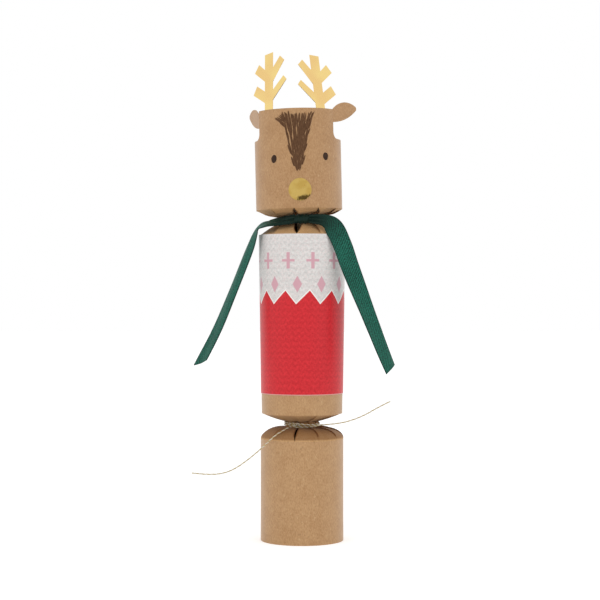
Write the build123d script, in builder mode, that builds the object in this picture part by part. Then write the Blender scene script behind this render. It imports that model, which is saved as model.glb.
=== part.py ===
from build123d import *
import os
from math import cos, pi, radians, sin, sqrt, tan

# A christmas cracker dressed as a reindeer, standing on the open end of its foot.
# Sizes are millimetres and degrees. +Z is up, the face looks along -Y, and the origin is the
# centre of the foot's lower rim. A turn is an angle about the upright axis, from the front
# towards +X. Heights on the head are counted along its own axis, from the upper tear.

# Papers and fits
card_thickness = 0.5  # kraft wrapper card
liner_thickness = 0.8  # stiff card rolled inside each tube
jumper_thickness = 0.3  # printed paper sleeve
foil_thickness = 0.2  # nose sticker
antler_thickness = 0.4  # gold mirror card
neck_wall = 1.0  # card gathered at a neck
glue_gap = 0.05  # film of glue between two papers
running_gap = 0.3  # between pieces that slide past each other
tear_gap = 0.05  # hairline of the perforation where a neck tears

# Foot and lower neck
foot_diameter = 49.6
foot_height = 60.9  # up to where the rounded shoulder starts
foot_dome_height = 7.0
foot_liner_length = 46.0
lower_neck_diameter = 20.0
lower_neck_height = 3.1

# Barrel and upper neck
barrel_bottom_diameter = 48.3
barrel_top_diameter = 51.2
barrel_height = 106.5
barrel_bottom_cone_height = 5.0
barrel_top_cone_height = 7.8
barrel_liner_inset = 3.0  # from each rim of the barrel
jumper_length = 94.6  # down from the barrel's top rim
upper_neck_diameter = 25.0
upper_neck_height = 2.4

# Head
head_diameter = 51.6
head_height = 41.1
head_cone_height = 4.9
head_cone_bend_radius = 20.5
head_cone_bend_height = 2.4
head_neck_diameter = 21.8
head_neck_height = 0.4
head_shift = -1.55  # the head sits off the barrel's axis
head_tilt = 1.3  # and leans towards -X
head_liner_length = 32.0

# Petals of the gathered cones
petal_count = 11
slit_width_at_rim = 0.3
slit_width_at_neck = 0.9
slit_overrun = 1.0
lower_slit_turn = -10.0
upper_slit_turn = -7.0

# Forehead panel and ears
panel_height = 17.2
panel_turn = -3.0
panel_half_angle = 58.2
panel_corner_radius = 4.0
ear_length = 21.0
ear_root_height = 7.2
ear_rise = 4.8  # crown of the ear above the panel's top edge
ear_sag = 5.3  # belly of the ear below the panel's top edge
ear_drop = 0.4  # root of the ear below the panel's top edge
ear_tip_rise = 1.6  # tip of the ear above it
ear_tip_radius = 1.6
ear_swing = -11.0  # both ears are bent the same way round
left_ear_sink = 2.7  # this ear sits lower
ear_tuck = 0.4  # ear card that lies inside the panel's edge

# Antlers
stem_width = 6.2
stem_height = 33.5
stem_top_slant = 1.3  # the outer corner is this much lower
antler_tab = 8.0  # below the panel's top edge
left_antler_turn = -41.8
left_antler_lean = 2.0  # towards the middle
right_antler_turn = 34.5
right_antler_lean = 7.3
right_antler_sink = 2.0  # this antler is glued lower
# Each branch: root height on the stem, reach towards the middle, tip height, root and tip width
antler_branches = [
    (5.4, 12.7, 18.2, 4.5, 3.3),
    (16.7, 10.4, 29.7, 5.4, 4.1),
    (5.8, -10.8, 11.7, 5.9, 5.9),
    (17.8, -9.5, 24.4, 5.4, 5.9),
]

# Nose
nose_turn = 1.6
nose_height = 15.0
nose_half_width = 6.7
nose_upper_radius = 7.2
nose_lower_radius = 6.0

# Ribbon scarf
ribbon_width = 11.0
ribbon_thickness = 0.8
scarf_roll_width = 4.8  # the gathered ribbon, across the neck
scarf_roll_height = 3.2  # and along it
scarf_knot_width = 8.0
scarf_knot_height = 5.2
scarf_knot_depth = 3.0
scarf_knot_round = 1.2
gathered_width = 4.8  # ribbon width where it leaves the knot
half_open_width = 7.0  # and on its way over the shoulder
# Each tail station: beyond the shoulder to the side, to the front, above the barrel's top rim,
# then the way across the ribbon
right_tail_stations = [
    (-13.0, -6.4, 8.0, (0.1, 0.0, 1.0)),
    (-7.4, -4.2, 3.8, (0.87, 0.0, 0.49)),
    (-2.3, -3.9, -6.6, (0.92, 0.05, 0.39)),
    (2.4, -3.9, -20.0, (0.9, 0.27, 0.35)),
    (11.8, -4.2, -44.7, (0.76, 0.6, 0.25)),
    (21.1, -4.6, -68.1, (0.67, 0.71, 0.24)),
    (26.1, -4.9, -79.5, (0.6, 0.78, 0.24)),
]
left_tail_stations = [
    (-13.4, -10.3, 7.8, (0.0, 0.75, 0.66)),
    (-5.4, -13.1, 6.1, (-0.1, 0.93, 0.35)),
    (0.3, -17.4, 2.7, (-0.35, 0.9, 0.25)),
    (5.4, -18.9, -9.0, (-0.4, 0.89, 0.18)),
    (15.0, -19.4, -32.8, (-0.4, 0.89, 0.18)),
    (24.8, -19.9, -56.7, (-0.42, 0.88, 0.2)),
    (34.6, -20.4, -76.3, (-0.45, 0.86, 0.24)),
]

# Twine
twine_diameter = 0.8
twine_loops = 2
twine_turn_gap = 0.45  # between one turn and the next
twine_lead_turn = 45.0  # where the ends lift off the neck, each side of the knot
twine_lead_bend = 2.0  # radius of the bend from the neck to the knot
twine_knot_turn = -23.0
twine_knot_gap = 0.1  # knot to the turn behind it
twine_knot_cheek = 0.45  # knot beyond the middle of the ends that go into it
twine_knot_round = 0.25
cord_bend_share = 0.45  # of a cord's shorter run that goes into a bend
# Steps of the two free tails, each from the point before it; the first starts at the knot's face
right_tail_steps = [
    (7.4, -3.1, -0.8),
    (10.1, -1.6, 0.4),
    (11.0, 0.0, 1.3),
    (10.5, 0.7, 3.6),
    (9.0, 0.7, 5.2),
    (7.4, 0.6, 3.6),
]
left_tail_steps = [
    (-3.2, 1.3, 0.0),
    (-2.8, -6.0, -0.2),
    (-4.4, -5.4, -4.2),
    (-6.0, -2.2, -5.8),
    (-9.0, 0.2, -7.8),
    (-10.0, 0.3, -6.9),
    (-11.0, 0.6, -2.6),
    (-12.2, 0.4, 1.4),
]

# Snap
snap_width = 6.0
snap_thickness = 0.4
snap_overlap = 36.0
snap_slip = 0.2  # between the two strips
snap_tab_reach = 10.0  # glued tab, outwards from the neck's inner wall
snap_tab_gap = 0.4
collar_length = 24.0
collar_thickness = 0.4

# Contents of the barrel
lane_gap = 1.2  # to the barrel's liner
hat_radius = 7.0
hat_core_radius = 2.5
hat_length = 84.0
hat_turn = -60.0
hat_band_width = 8.0
hat_band_thickness = 0.2
motto_radius = 3.0
motto_core_radius = 1.2
motto_length = 60.0
motto_turn = 172.0
top_radius = 9.0
top_thickness = 6.0
top_edge_round = 1.5
top_turn = 75.0
peg_radius = 1.6
peg_length = 26.0
peg_below = 5.0  # point of the peg below the disc
peg_point_radius = 0.5
peg_point_length = 2.2

# Levels and radii that follow from the sizes above
foot_radius = foot_diameter / 2
barrel_bottom_radius = barrel_bottom_diameter / 2
barrel_top_radius = barrel_top_diameter / 2
head_radius = head_diameter / 2
head_neck_radius = head_neck_diameter / 2
lower_neck_radius = lower_neck_diameter / 2
upper_neck_radius = upper_neck_diameter / 2
lower_neck_z = foot_height + foot_dome_height
lower_tear_z = lower_neck_z + lower_neck_height
barrel_bottom_z = lower_tear_z + barrel_bottom_cone_height
barrel_top_z = barrel_bottom_z + barrel_height
upper_neck_z = barrel_top_z + barrel_top_cone_height
upper_tear_z = upper_neck_z + upper_neck_height
head_rim = head_cone_height + head_height
panel_top = head_rim + panel_height
head_inner_radius = head_radius - card_thickness
jumper_layer = glue_gap + jumper_thickness
shoulder_radius = barrel_top_radius + jumper_layer

head_plane = Plane(
    origin=(head_shift, 0, upper_tear_z),
    x_dir=(cos(radians(head_tilt)), 0, sin(radians(head_tilt))),
    z_dir=(-sin(radians(head_tilt)), 0, cos(radians(head_tilt))),
)

os.makedirs("parts", exist_ok=True)


def outwards(turn):
    """The level direction away from the axis at a turn from the front."""
    return Vector(sin(radians(turn)), -cos(radians(turn)), 0)


def rightwards(turn):
    """The level direction round the axis at a turn, to the right as seen from outside."""
    return Vector(cos(radians(turn)), sin(radians(turn)), 0)


def wall_plane(turn, radius, height, swing=0.0):
    """A plane on the head that faces outwards at a turn, its X to the right and its Y up."""
    spot = outwards(turn) * radius + Vector(0, 0, height)
    facing = Plane(origin=spot, x_dir=rightwards(turn + swing), z_dir=outwards(turn + swing))
    return Plane(head_plane.location * facing.location)


def barrel_wall(height):
    """Outer radius of the barrel's wrapper at a height above its bottom rim."""
    return barrel_bottom_radius + (barrel_top_radius - barrel_bottom_radius) * height / barrel_height


def tube(plane, wall, start, length, bottom_radius, top_radius):
    """An open tube along the plane's normal, from one outer radius to the other."""
    end = start + length
    with BuildPart() as shell:
        with BuildSketch(Plane(plane.location * Plane.XZ.location)):
            Polygon(
                (bottom_radius - wall, start),
                (bottom_radius, start),
                (top_radius, end),
                (top_radius - wall, end),
                align=None,
            )
        revolve(axis=Axis(plane.origin, plane.z_dir))
    return shell


def gathered_cone(plane, profile, slit_turn):
    """Petals round the plane's normal: a profile of radius and height, turned and slit."""
    box = profile.sketch_local.bounding_box()
    inner = box.min.X - slit_overrun
    outer = box.max.X + slit_overrun
    with BuildPart() as cone:
        with BuildSketch(Plane(plane.location * Plane.XZ.location)):
            add(profile.sketch_local)
        revolve(axis=Axis(plane.origin, plane.z_dir))
        with BuildSketch(plane.offset(box.min.Y - slit_overrun)):
            with PolarLocations(0, petal_count, start_angle=slit_turn - 90):
                Polygon(
                    (inner, -slit_width_at_neck / 2),
                    (outer, -slit_width_at_rim / 2),
                    (outer, slit_width_at_rim / 2),
                    (inner, slit_width_at_neck / 2),
                    align=None,
                )
        extrude(amount=box.size.Y + 2 * slit_overrun, mode=Mode.SUBTRACT)
    return cone


# Foot: wrapper tube, liner and the petals that close it into the lower neck
foot_wrap = tube(Plane.XY, card_thickness, 0, foot_height, foot_radius, foot_radius)
foot_wrap.part.label = "foot_wrap"
export_step(foot_wrap.part, "parts/foot_wrap.step")

foot_liner_radius = foot_radius - card_thickness - glue_gap
foot_liner = tube(
    Plane.XY, liner_thickness, 0, foot_liner_length, foot_liner_radius, foot_liner_radius
)
foot_liner.part.label = "foot_liner"
export_step(foot_liner.part, "parts/foot_liner.step")

lower_neck_inner = lower_neck_radius - neck_wall
dome_reach = foot_radius - lower_neck_radius
dome_middle = (lower_neck_radius, foot_height)
dome_top = (lower_neck_radius, lower_neck_z)
dome_top_inside = (lower_neck_radius, lower_neck_z - card_thickness)
dome_inside_reach = dome_reach - card_thickness
dome_inside_height = foot_dome_height - card_thickness
with BuildSketch() as foot_profile:
    with BuildLine():
        EllipticalCenterArc(dome_middle, dome_reach, foot_dome_height, 0, arc_size=90)
        Polyline(
            dome_top,
            (lower_neck_radius, lower_tear_z),
            (lower_neck_inner, lower_tear_z),
            (lower_neck_inner, lower_neck_z - card_thickness),
            dome_top_inside,
        )
        EllipticalCenterArc(dome_middle, dome_inside_reach, dome_inside_height, 0, arc_size=90)
        Line((foot_radius - card_thickness, foot_height), (foot_radius, foot_height))
    make_face()
foot_crimp = gathered_cone(Plane.XY, foot_profile, lower_slit_turn)
foot_crimp.part.label = "foot_crimp"
export_step(foot_crimp.part, "parts/foot_crimp.step")

# Barrel: wrapper tube, liner, printed jumper and the petals at both ends
barrel_wrap = tube(
    Plane.XY,
    card_thickness,
    barrel_bottom_z,
    barrel_height,
    barrel_bottom_radius,
    barrel_top_radius,
)
barrel_wrap.part.label = "barrel_wrap"
export_step(barrel_wrap.part, "parts/barrel_wrap.step")

barrel_liner_depth = card_thickness + glue_gap
barrel_liner = tube(
    Plane.XY,
    liner_thickness,
    barrel_bottom_z + barrel_liner_inset,
    barrel_height - 2 * barrel_liner_inset,
    barrel_wall(barrel_liner_inset) - barrel_liner_depth,
    barrel_wall(barrel_height - barrel_liner_inset) - barrel_liner_depth,
)
barrel_liner.part.label = "barrel_liner"
export_step(barrel_liner.part, "parts/barrel_liner.step")

jumper_band = tube(
    Plane.XY,
    jumper_thickness,
    barrel_top_z - jumper_length,
    jumper_length,
    barrel_wall(barrel_height - jumper_length) + jumper_layer,
    shoulder_radius,
)
jumper_band.part.label = "jumper_band"
export_step(jumper_band.part, "parts/jumper_band.step")

barrel_floor_z = lower_tear_z + tear_gap
barrel_cone_inside = [
    (barrel_bottom_radius - card_thickness, barrel_bottom_z),
    (lower_neck_inner, barrel_floor_z + card_thickness),
]
with BuildSketch() as barrel_bottom_profile:
    Polygon(
        (barrel_bottom_radius, barrel_bottom_z),
        (lower_neck_radius, barrel_floor_z),
        (lower_neck_inner, barrel_floor_z),
        barrel_cone_inside[1],
        barrel_cone_inside[0],
        align=None,
    )
barrel_bottom_crimp = gathered_cone(Plane.XY, barrel_bottom_profile, lower_slit_turn)
barrel_bottom_crimp.part.label = "barrel_bottom_crimp"
export_step(barrel_bottom_crimp.part, "parts/barrel_bottom_crimp.step")

upper_neck_inner = upper_neck_radius - neck_wall
barrel_roof_inside = [
    (barrel_top_radius - card_thickness, barrel_top_z),
    (upper_neck_inner, upper_neck_z - card_thickness),
]
with BuildSketch() as barrel_top_profile:
    Polygon(
        (barrel_top_radius, barrel_top_z),
        (upper_neck_radius, upper_neck_z),
        (upper_neck_radius, upper_tear_z),
        (upper_neck_inner, upper_tear_z),
        barrel_roof_inside[1],
        barrel_roof_inside[0],
        align=None,
    )
barrel_top_crimp = gathered_cone(Plane.XY, barrel_top_profile, upper_slit_turn)
barrel_top_crimp.part.label = "barrel_top_crimp"
export_step(barrel_top_crimp.part, "parts/barrel_top_crimp.step")

# Head petals: built on the leaning head and cut level where the neck tears
head_neck_inner = head_neck_radius - neck_wall
head_cone_inside = [
    (head_inner_radius, head_cone_height),
    (head_cone_bend_radius, head_cone_bend_height + card_thickness),
    (head_neck_inner, head_neck_height + card_thickness),
]
tear_overrun = head_neck_radius * tan(radians(head_tilt)) + slit_overrun
with BuildSketch() as head_profile:
    Polygon(
        (head_radius, head_cone_height),
        (head_cone_bend_radius, head_cone_bend_height),
        (head_neck_radius, head_neck_height),
        (head_neck_radius, -tear_overrun),
        (head_neck_inner, -tear_overrun),
        head_cone_inside[2],
        head_cone_inside[1],
        head_cone_inside[0],
        align=None,
    )
whole_head_cone = gathered_cone(head_plane, head_profile, upper_slit_turn)
with BuildPart() as head_crimp:
    add(whole_head_cone.part)
    split(bisect_by=Plane.XY.offset(upper_tear_z + tear_gap), keep=Keep.TOP)
head_crimp.part.label = "head_crimp"
export_step(head_crimp.part, "parts/head_crimp.step")

head_liner_radius = head_inner_radius - glue_gap
head_liner = tube(
    head_plane,
    liner_thickness,
    head_cone_height,
    head_liner_length,
    head_liner_radius,
    head_liner_radius,
)
head_liner.part.label = "head_liner"
export_step(head_liner.part, "parts/head_liner.step")

# Head wrapper: a tube whose front goes on up as the forehead panel, with an ear on each side
back_arc = 360 - 2 * panel_half_angle
with BuildPart() as head_wrap:
    with BuildSketch(head_plane.offset(head_cone_height)):
        Circle(head_radius)
        Circle(head_inner_radius, mode=Mode.SUBTRACT)
    extrude(amount=panel_top - head_cone_height)
    with BuildSketch(head_plane.offset(head_rim)):
        with BuildLine():
            reach = 2 * head_radius
            first = panel_turn + panel_half_angle - 90
            sweep_arc = CenterArc((0, 0), reach, first, back_arc)
            Line((0, 0), sweep_arc @ 0)
            Line(sweep_arc @ 1, (0, 0))
        make_face()
    extrude(amount=2 * panel_height, mode=Mode.SUBTRACT)
    step_corners = [
        edge
        for edge in head_wrap.edges().filter_by(GeomType.LINE)
        if abs(head_plane.to_local_coords(edge.center()).Z - head_rim) < glue_gap
    ]
    fillet(step_corners, radius=panel_corner_radius)
    for side, sink in ((-1, left_ear_sink), (1, 0)):
        edge_turn = panel_turn + side * panel_half_angle
        with BuildSketch(wall_plane(edge_turn, head_inner_radius, panel_top - sink, ear_swing)):
            with BuildLine():
                root_top = (-side * ear_tuck, -ear_drop)
                root_bottom = (-side * ear_tuck, -ear_drop - ear_root_height)
                tip = (side * ear_length, ear_tip_rise)
                belly = (side * ear_length / 2, -ear_sag)
                crown = (side * ear_length / 2, ear_rise)
                Line(root_top, root_bottom)
                ThreePointArc(root_bottom, belly, tip)
                ThreePointArc(tip, crown, root_top)
            outline = make_face()
            fillet(outline.vertices().sort_by(Axis.X)[-1 if side > 0 else 0], ear_tip_radius)
        extrude(amount=card_thickness)
head_wrap.part.label = "head_wrap"
export_step(head_wrap.part, "parts/head_wrap.step")

# Nose sticker: an egg of foil that follows the head's wall
with BuildPart() as nose_foil:
    nose_span = 2 * max(nose_upper_radius, nose_lower_radius, nose_half_width)
    with BuildSketch(head_plane.offset(nose_height - nose_span / 2)):
        Circle(head_radius + glue_gap + foil_thickness)
        Circle(head_radius + glue_gap, mode=Mode.SUBTRACT)
    extrude(amount=nose_span)
    with BuildSketch(wall_plane(nose_turn, 0, nose_height)):
        with BuildLine():
            EllipticalCenterArc((0, 0), nose_half_width, nose_upper_radius, 0, arc_size=180)
            EllipticalCenterArc((0, 0), nose_half_width, nose_lower_radius, 180, arc_size=180)
        make_face()
    extrude(amount=head_diameter, mode=Mode.INTERSECT)
nose_foil.part.label = "nose_foil"
export_step(nose_foil.part, "parts/nose_foil.step")


def antler(turn, lean, side, sink):
    """One flat antler, its tab behind the panel; side is 1 where the middle is on its right."""
    tab_half_span = stem_width / 2 * cos(radians(lean)) + antler_tab * sin(radians(lean))
    tab_radius = sqrt(head_inner_radius**2 - tab_half_span**2) - glue_gap - antler_thickness
    upright = wall_plane(turn, tab_radius, panel_top - sink)
    leaning = Plane(upright.location * Rotation(0, 0, -side * lean))
    with BuildPart() as plate:
        with BuildSketch(leaning):
            Polygon(
                (-stem_width / 2, -antler_tab),
                (stem_width / 2, -antler_tab),
                (stem_width / 2, stem_height - (0 if side > 0 else stem_top_slant)),
                (-stem_width / 2, stem_height - (stem_top_slant if side > 0 else 0)),
                align=None,
            )
            for root_height, tip_reach, tip_height, root_width, tip_width in antler_branches:
                root = Vector(0, root_height)
                tip = Vector(side * tip_reach, tip_height)
                across = (tip - root).normalized().rotate(Axis.Z, 90)
                Polygon(
                    root + across * (root_width / 2),
                    root - across * (root_width / 2),
                    tip - across * (tip_width / 2),
                    tip + across * (tip_width / 2),
                    align=None,
                )
        extrude(amount=antler_thickness)
    return plate


left_antler = antler(left_antler_turn, left_antler_lean, 1, 0)
left_antler.part.label = "left_antler"
export_step(left_antler.part, "parts/left_antler.step")

right_antler = antler(right_antler_turn, right_antler_lean, -1, right_antler_sink)
right_antler.part.label = "right_antler"
export_step(right_antler.part, "parts/right_antler.step")

# Scarf: the ribbon gathered round the upper neck, its knot in front and two tails
scarf_z = upper_neck_z + upper_neck_height / 2
scarf_roll_middle = upper_neck_radius + glue_gap + scarf_roll_width / 2
with BuildPart() as scarf_loop:
    with BuildSketch(Plane.XZ):
        with Locations((scarf_roll_middle, scarf_z)):
            Ellipse(scarf_roll_width / 2, scarf_roll_height / 2)
    revolve(axis=Axis.Z)
scarf_loop.part.label = "scarf_loop"
export_step(scarf_loop.part, "parts/scarf_loop.step")

scarf_knot_back = scarf_roll_middle + scarf_roll_width / 2 + glue_gap
with BuildPart() as scarf_knot:
    with BuildSketch(Plane(origin=(0, -scarf_knot_back, scarf_z), x_dir=(1, 0, 0), z_dir=(0, -1, 0))):
        Rectangle(scarf_knot_width, scarf_knot_height)
    extrude(amount=scarf_knot_depth)
    fillet(scarf_knot.faces().sort_by(Axis.Y)[0].edges(), radius=scarf_knot_round)
scarf_knot.part.label = "scarf_knot"
export_step(scarf_knot.part, "parts/scarf_knot.step")


def ribbon_tail(side, stations):
    """A ribbon from the knot's side face through its stations; side is 1 for the right tail."""
    knot_face = Vector(side * scarf_knot_width / 2, -scarf_knot_back - scarf_knot_depth / 2, scarf_z)
    spots = [knot_face]
    acrosses = [Vector(0, 0, 1)]
    for beyond, front, rise, across in stations:
        side_x = side * (shoulder_radius + beyond)
        front_y = -(shoulder_radius + front)
        spots.append(Vector(side_x, front_y, barrel_top_z + rise))
        acrosses.append(Vector(*across))
    widths = [gathered_width, half_open_width] + [ribbon_width] * (len(spots) - 2)
    headings = [Vector(side, 0, 0)]
    for before, after in zip(spots[:-2], spots[2:]):
        headings.append((after - before).normalized())
    headings.append((spots[-1] - spots[-2]).normalized())
    with BuildPart() as tail:
        for spot, across, width, heading in zip(spots, acrosses, widths, headings):
            with BuildSketch(Plane(origin=spot, x_dir=across, z_dir=heading)):
                Rectangle(width, ribbon_thickness)
        loft(ruled=True)
    return tail


scarf_left_tail = ribbon_tail(-1, left_tail_stations)
scarf_left_tail.part.label = "scarf_left_tail"
export_step(scarf_left_tail.part, "parts/scarf_left_tail.step")

scarf_right_tail = ribbon_tail(1, right_tail_stations)
scarf_right_tail.part.label = "scarf_right_tail"
export_step(scarf_right_tail.part, "parts/scarf_right_tail.step")

# Twine winding: whole quarter turns round the lower neck between two leads to the knot
twine_radius = twine_diameter / 2
winding_radius = lower_neck_radius + glue_gap + twine_radius
twine_pitch = twine_diameter + twine_turn_gap
quarter_turns = round((360 * twine_loops - 2 * twine_lead_turn) / 90)
quarter_sweep = (360 * twine_loops - 2 * twine_lead_turn) / quarter_turns
winding_rise = twine_pitch * quarter_turns * quarter_sweep / 360
winding_low_z = lower_neck_z + (lower_neck_height - winding_rise) / 2
winding_high_z = winding_low_z + winding_rise
knot_out = outwards(twine_knot_turn)
knot_right = rightwards(twine_knot_turn)
lead_sin = sin(radians(twine_lead_turn))
lead_cos = cos(radians(twine_lead_turn))
knot_distance = winding_radius + twine_diameter + twine_turn_gap
lead_climb = knot_distance - winding_radius * lead_cos - twine_lead_bend * (1 - lead_cos)
lead_run = lead_climb / lead_sin
knot_half_width = (winding_radius - twine_lead_bend) * lead_sin - lead_run * lead_cos - twine_diameter


def lead_points(side, z):
    """From the knot's side face: its face, the bend's two ends and the point on the neck."""
    face = knot_out * knot_distance + knot_right * (side * knot_half_width) + Vector(0, 0, z)
    bend_start = face + knot_right * (side * twine_diameter)
    bend_in = knot_out * (twine_lead_bend * (lead_cos - 1))
    bend_end = bend_start + knot_right * (side * twine_lead_bend * lead_sin) + bend_in
    neck = outwards(twine_knot_turn + side * twine_lead_turn) * winding_radius + Vector(0, 0, z)
    return face, bend_start, bend_end, neck


def biarc(start, start_way, end, end_way):
    """Two arcs that join two points along their given directions."""
    chord = end - start
    ways = start_way + end_way
    spread = 2 * (1 - start_way.dot(end_way))
    along = chord.dot(ways)
    reach = (sqrt(along**2 + spread * chord.dot(chord)) - along) / spread
    first_corner = start + start_way * reach
    second_corner = end - end_way * reach
    joint = (first_corner + second_corner) / 2
    TangentArc(start, joint, tangent=start_way)
    TangentArc(joint, end, tangent=second_corner - first_corner)


with BuildPart() as twine_wrap:
    with BuildLine() as winding:
        right_face, right_bend, right_bend_end, right_neck = lead_points(1, winding_low_z)
        Line(right_face, right_bend)
        TangentArc(right_bend, right_bend_end, tangent=knot_right)
        Line(right_bend_end, right_neck)
        climb = Vector(0, 0, twine_pitch / (2 * pi * winding_radius))
        for quarter in range(quarter_turns):
            start_turn = twine_knot_turn + twine_lead_turn + quarter * quarter_sweep
            end_turn = start_turn + quarter_sweep
            start_z = winding_low_z + twine_pitch * quarter * quarter_sweep / 360
            end_z = start_z + twine_pitch * quarter_sweep / 360
            start_climb = climb if quarter > 0 else Vector(0, 0, 0)
            end_climb = climb if quarter < quarter_turns - 1 else Vector(0, 0, 0)
            biarc(
                outwards(start_turn) * winding_radius + Vector(0, 0, start_z),
                (rightwards(start_turn) + start_climb).normalized(),
                outwards(end_turn) * winding_radius + Vector(0, 0, end_z),
                (rightwards(end_turn) + end_climb).normalized(),
            )
        left_face, left_bend, left_bend_end, left_neck = lead_points(-1, winding_high_z)
        Line(left_neck, left_bend_end)
        TangentArc(left_bend_end, left_bend, tangent=left_bend_end - left_neck)
        Line(left_bend, left_face)
    with BuildSketch(Plane(origin=right_face, z_dir=knot_right)):
        Circle(twine_radius)
    sweep()
twine_wrap.part.label = "twine_wrap"
export_step(twine_wrap.part, "parts/twine_wrap.step")

# The least gap from the winding to itself, measured on points along it
winding_wire = winding.wire()
winding_count = 360
winding_points = [winding_wire @ (i / winding_count) for i in range(winding_count + 1)]
near_reach = 4 * twine_diameter  # along the twine, counted as the same stretch
neighbours = round(near_reach / winding_wire.length * winding_count)
least_gap = min(
    (winding_points[i] - winding_points[j]).length
    for i in range(winding_count + 1)
    for j in range(i + neighbours, winding_count + 1)
)
print("winding's least gap to itself", round(least_gap - twine_diameter, 3))

knot_middle_z = (winding_low_z + winding_high_z) / 2
knot_back = winding_radius + twine_radius + twine_knot_gap
knot_front = knot_distance + twine_knot_cheek
with BuildPart() as twine_knot:
    knot_seat = knot_out * knot_back + Vector(0, 0, knot_middle_z)
    with BuildSketch(Plane(origin=knot_seat, x_dir=knot_right, z_dir=knot_out)):
        Rectangle(2 * knot_half_width, winding_rise + 2 * twine_knot_cheek)
    extrude(amount=knot_front - knot_back)
    fillet(twine_knot.faces().sort_by(Axis(knot_seat, knot_out))[-1].edges(), twine_knot_round)
twine_knot.part.label = "twine_knot"
export_step(twine_knot.part, "parts/twine_knot.step")


def cord_tube(name, start, steps):
    """A round cord along straight runs joined by arcs as large as the runs allow."""
    points = [start]
    for step in steps:
        points.append(points[-1] + Vector(*step))
    radii = []
    for before, corner, after in zip(points[:-2], points[1:-1], points[2:]):
        shorter = min((corner - before).length, (after - corner).length)
        bend = (corner - before).get_angle(after - corner)
        radii.append(cord_bend_share * shorter / tan(radians(bend / 2)))
    with BuildPart() as cord:
        with BuildLine() as route:
            FilletPolyline(*points, radius=radii)
        with BuildSketch(Plane(origin=points[0], z_dir=points[1] - points[0])):
            Circle(twine_radius)
        sweep()
    length = route.wire().length
    print(name, "length", round(length, 1), "bend radii", [round(radius, 1) for radius in radii])
    print(name, "volume over section times length", cord.part.volume / (pi * twine_radius**2 * length))
    return cord


right_exit = knot_out * knot_distance + knot_right * knot_half_width + Vector(0, 0, winding_high_z)
twine_right_tail = cord_tube("twine_right_tail", right_exit, right_tail_steps)
twine_right_tail.part.label = "twine_right_tail"
export_step(twine_right_tail.part, "parts/twine_right_tail.step")

left_exit = knot_out * knot_distance - knot_right * knot_half_width + Vector(0, 0, winding_low_z)
twine_left_tail = cord_tube("twine_left_tail", left_exit, left_tail_steps)
twine_left_tail.part.label = "twine_left_tail"
export_step(twine_left_tail.part, "parts/twine_left_tail.step")

# Snap: two overlapping strips at the back of the necks, each with a bent tab glued to its cone
collar_half_width = snap_width / 2 + running_gap + collar_thickness
way_through = min(lower_neck_inner, head_neck_inner) - running_gap
collar_back = sqrt(way_through**2 - collar_half_width**2)
upper_strip_y = collar_back - collar_thickness - running_gap - snap_thickness / 2
lower_strip_y = upper_strip_y - snap_slip - snap_thickness
collar_front = lower_strip_y - snap_thickness / 2 - glue_gap - collar_thickness
snap_middle_z = (lower_tear_z + upper_tear_z) / 2


def snap_strip(end_z, strip_y, rim, neck, side):
    """A strip from its free end to a tab along the line from neck to rim; side is the tab's."""
    slope = (Vector(*rim) - Vector(*neck)).normalized()
    lift = Vector(-slope.Y, slope.X) * (side * (snap_tab_gap + snap_thickness / 2))
    tab_start = Vector(*neck) + lift
    bend = tab_start + slope * ((strip_y - tab_start.X) / slope.X)
    tab_end = tab_start + slope * (snap_tab_reach / slope.X)
    first_normal = Vector(1, 0)
    second_normal = Vector(-slope.Y, slope.X) * side
    mitre = (first_normal * -1 + second_normal) / (1 - first_normal.dot(second_normal))
    half = snap_thickness / 2
    free_end = Vector(strip_y, end_z)
    with BuildPart() as strip:
        with BuildSketch(Plane.YZ):
            Polygon(
                free_end - first_normal * half,
                bend + mitre * half,
                tab_end + second_normal * half,
                tab_end - second_normal * half,
                bend - mitre * half,
                free_end + first_normal * half,
                align=None,
            )
        extrude(amount=snap_width / 2, both=True)
    return strip


tab_end_share = (snap_tab_reach - neck_wall) / dome_inside_reach
lower_tab_end = (
    lower_neck_inner + snap_tab_reach,
    foot_height + dome_inside_height * sqrt(1 - tab_end_share**2),
)
snap_lower_strip = snap_strip(
    snap_middle_z + snap_overlap / 2,
    lower_strip_y,
    lower_tab_end,
    dome_top_inside,
    -1,
)
snap_lower_strip.part.label = "snap_lower_strip"
export_step(snap_lower_strip.part, "parts/snap_lower_strip.step")

upper_tab_end, upper_tab_start = (
    (radius, upper_tear_z + height * cos(radians(head_tilt)))
    for radius, height in head_cone_inside[1:]
)
snap_upper_strip = snap_strip(
    snap_middle_z - snap_overlap / 2,
    upper_strip_y,
    upper_tab_end,
    upper_tab_start,
    1,
)
snap_upper_strip.part.label = "snap_upper_strip"
export_step(snap_upper_strip.part, "parts/snap_upper_strip.step")

with BuildPart() as snap_collar:
    collar_depth = collar_back - collar_front
    collar_middle_y = (collar_back + collar_front) / 2
    with BuildSketch(Plane.XY.offset(snap_middle_z - collar_length / 2)):
        with Locations((0, collar_middle_y)):
            Rectangle(2 * collar_half_width, collar_depth)
            Rectangle(
                2 * (collar_half_width - collar_thickness),
                collar_depth - 2 * collar_thickness,
                mode=Mode.SUBTRACT,
            )
    extrude(amount=collar_length)
snap_collar.part.label = "snap_collar"
export_step(snap_collar.part, "parts/snap_collar.step")

# Contents: each stands in its own lane along the barrel's wall, on the barrel's lower cone
barrel_inner_radius = barrel_wall(barrel_liner_inset) - barrel_liner_depth - liner_thickness


def cone_height(line, radius):
    """Height of a cone's inside at a radius, from its points at the rim and the neck."""
    (rim_radius, rim_z), (neck_radius, neck_z) = line
    return neck_z + (rim_z - neck_z) * (radius - neck_radius) / (rim_radius - neck_radius)


def lane(turn, radius):
    """The middle of a lane whose content has this radius."""
    return outwards(turn) * (barrel_inner_radius - lane_gap - radius)


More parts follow.
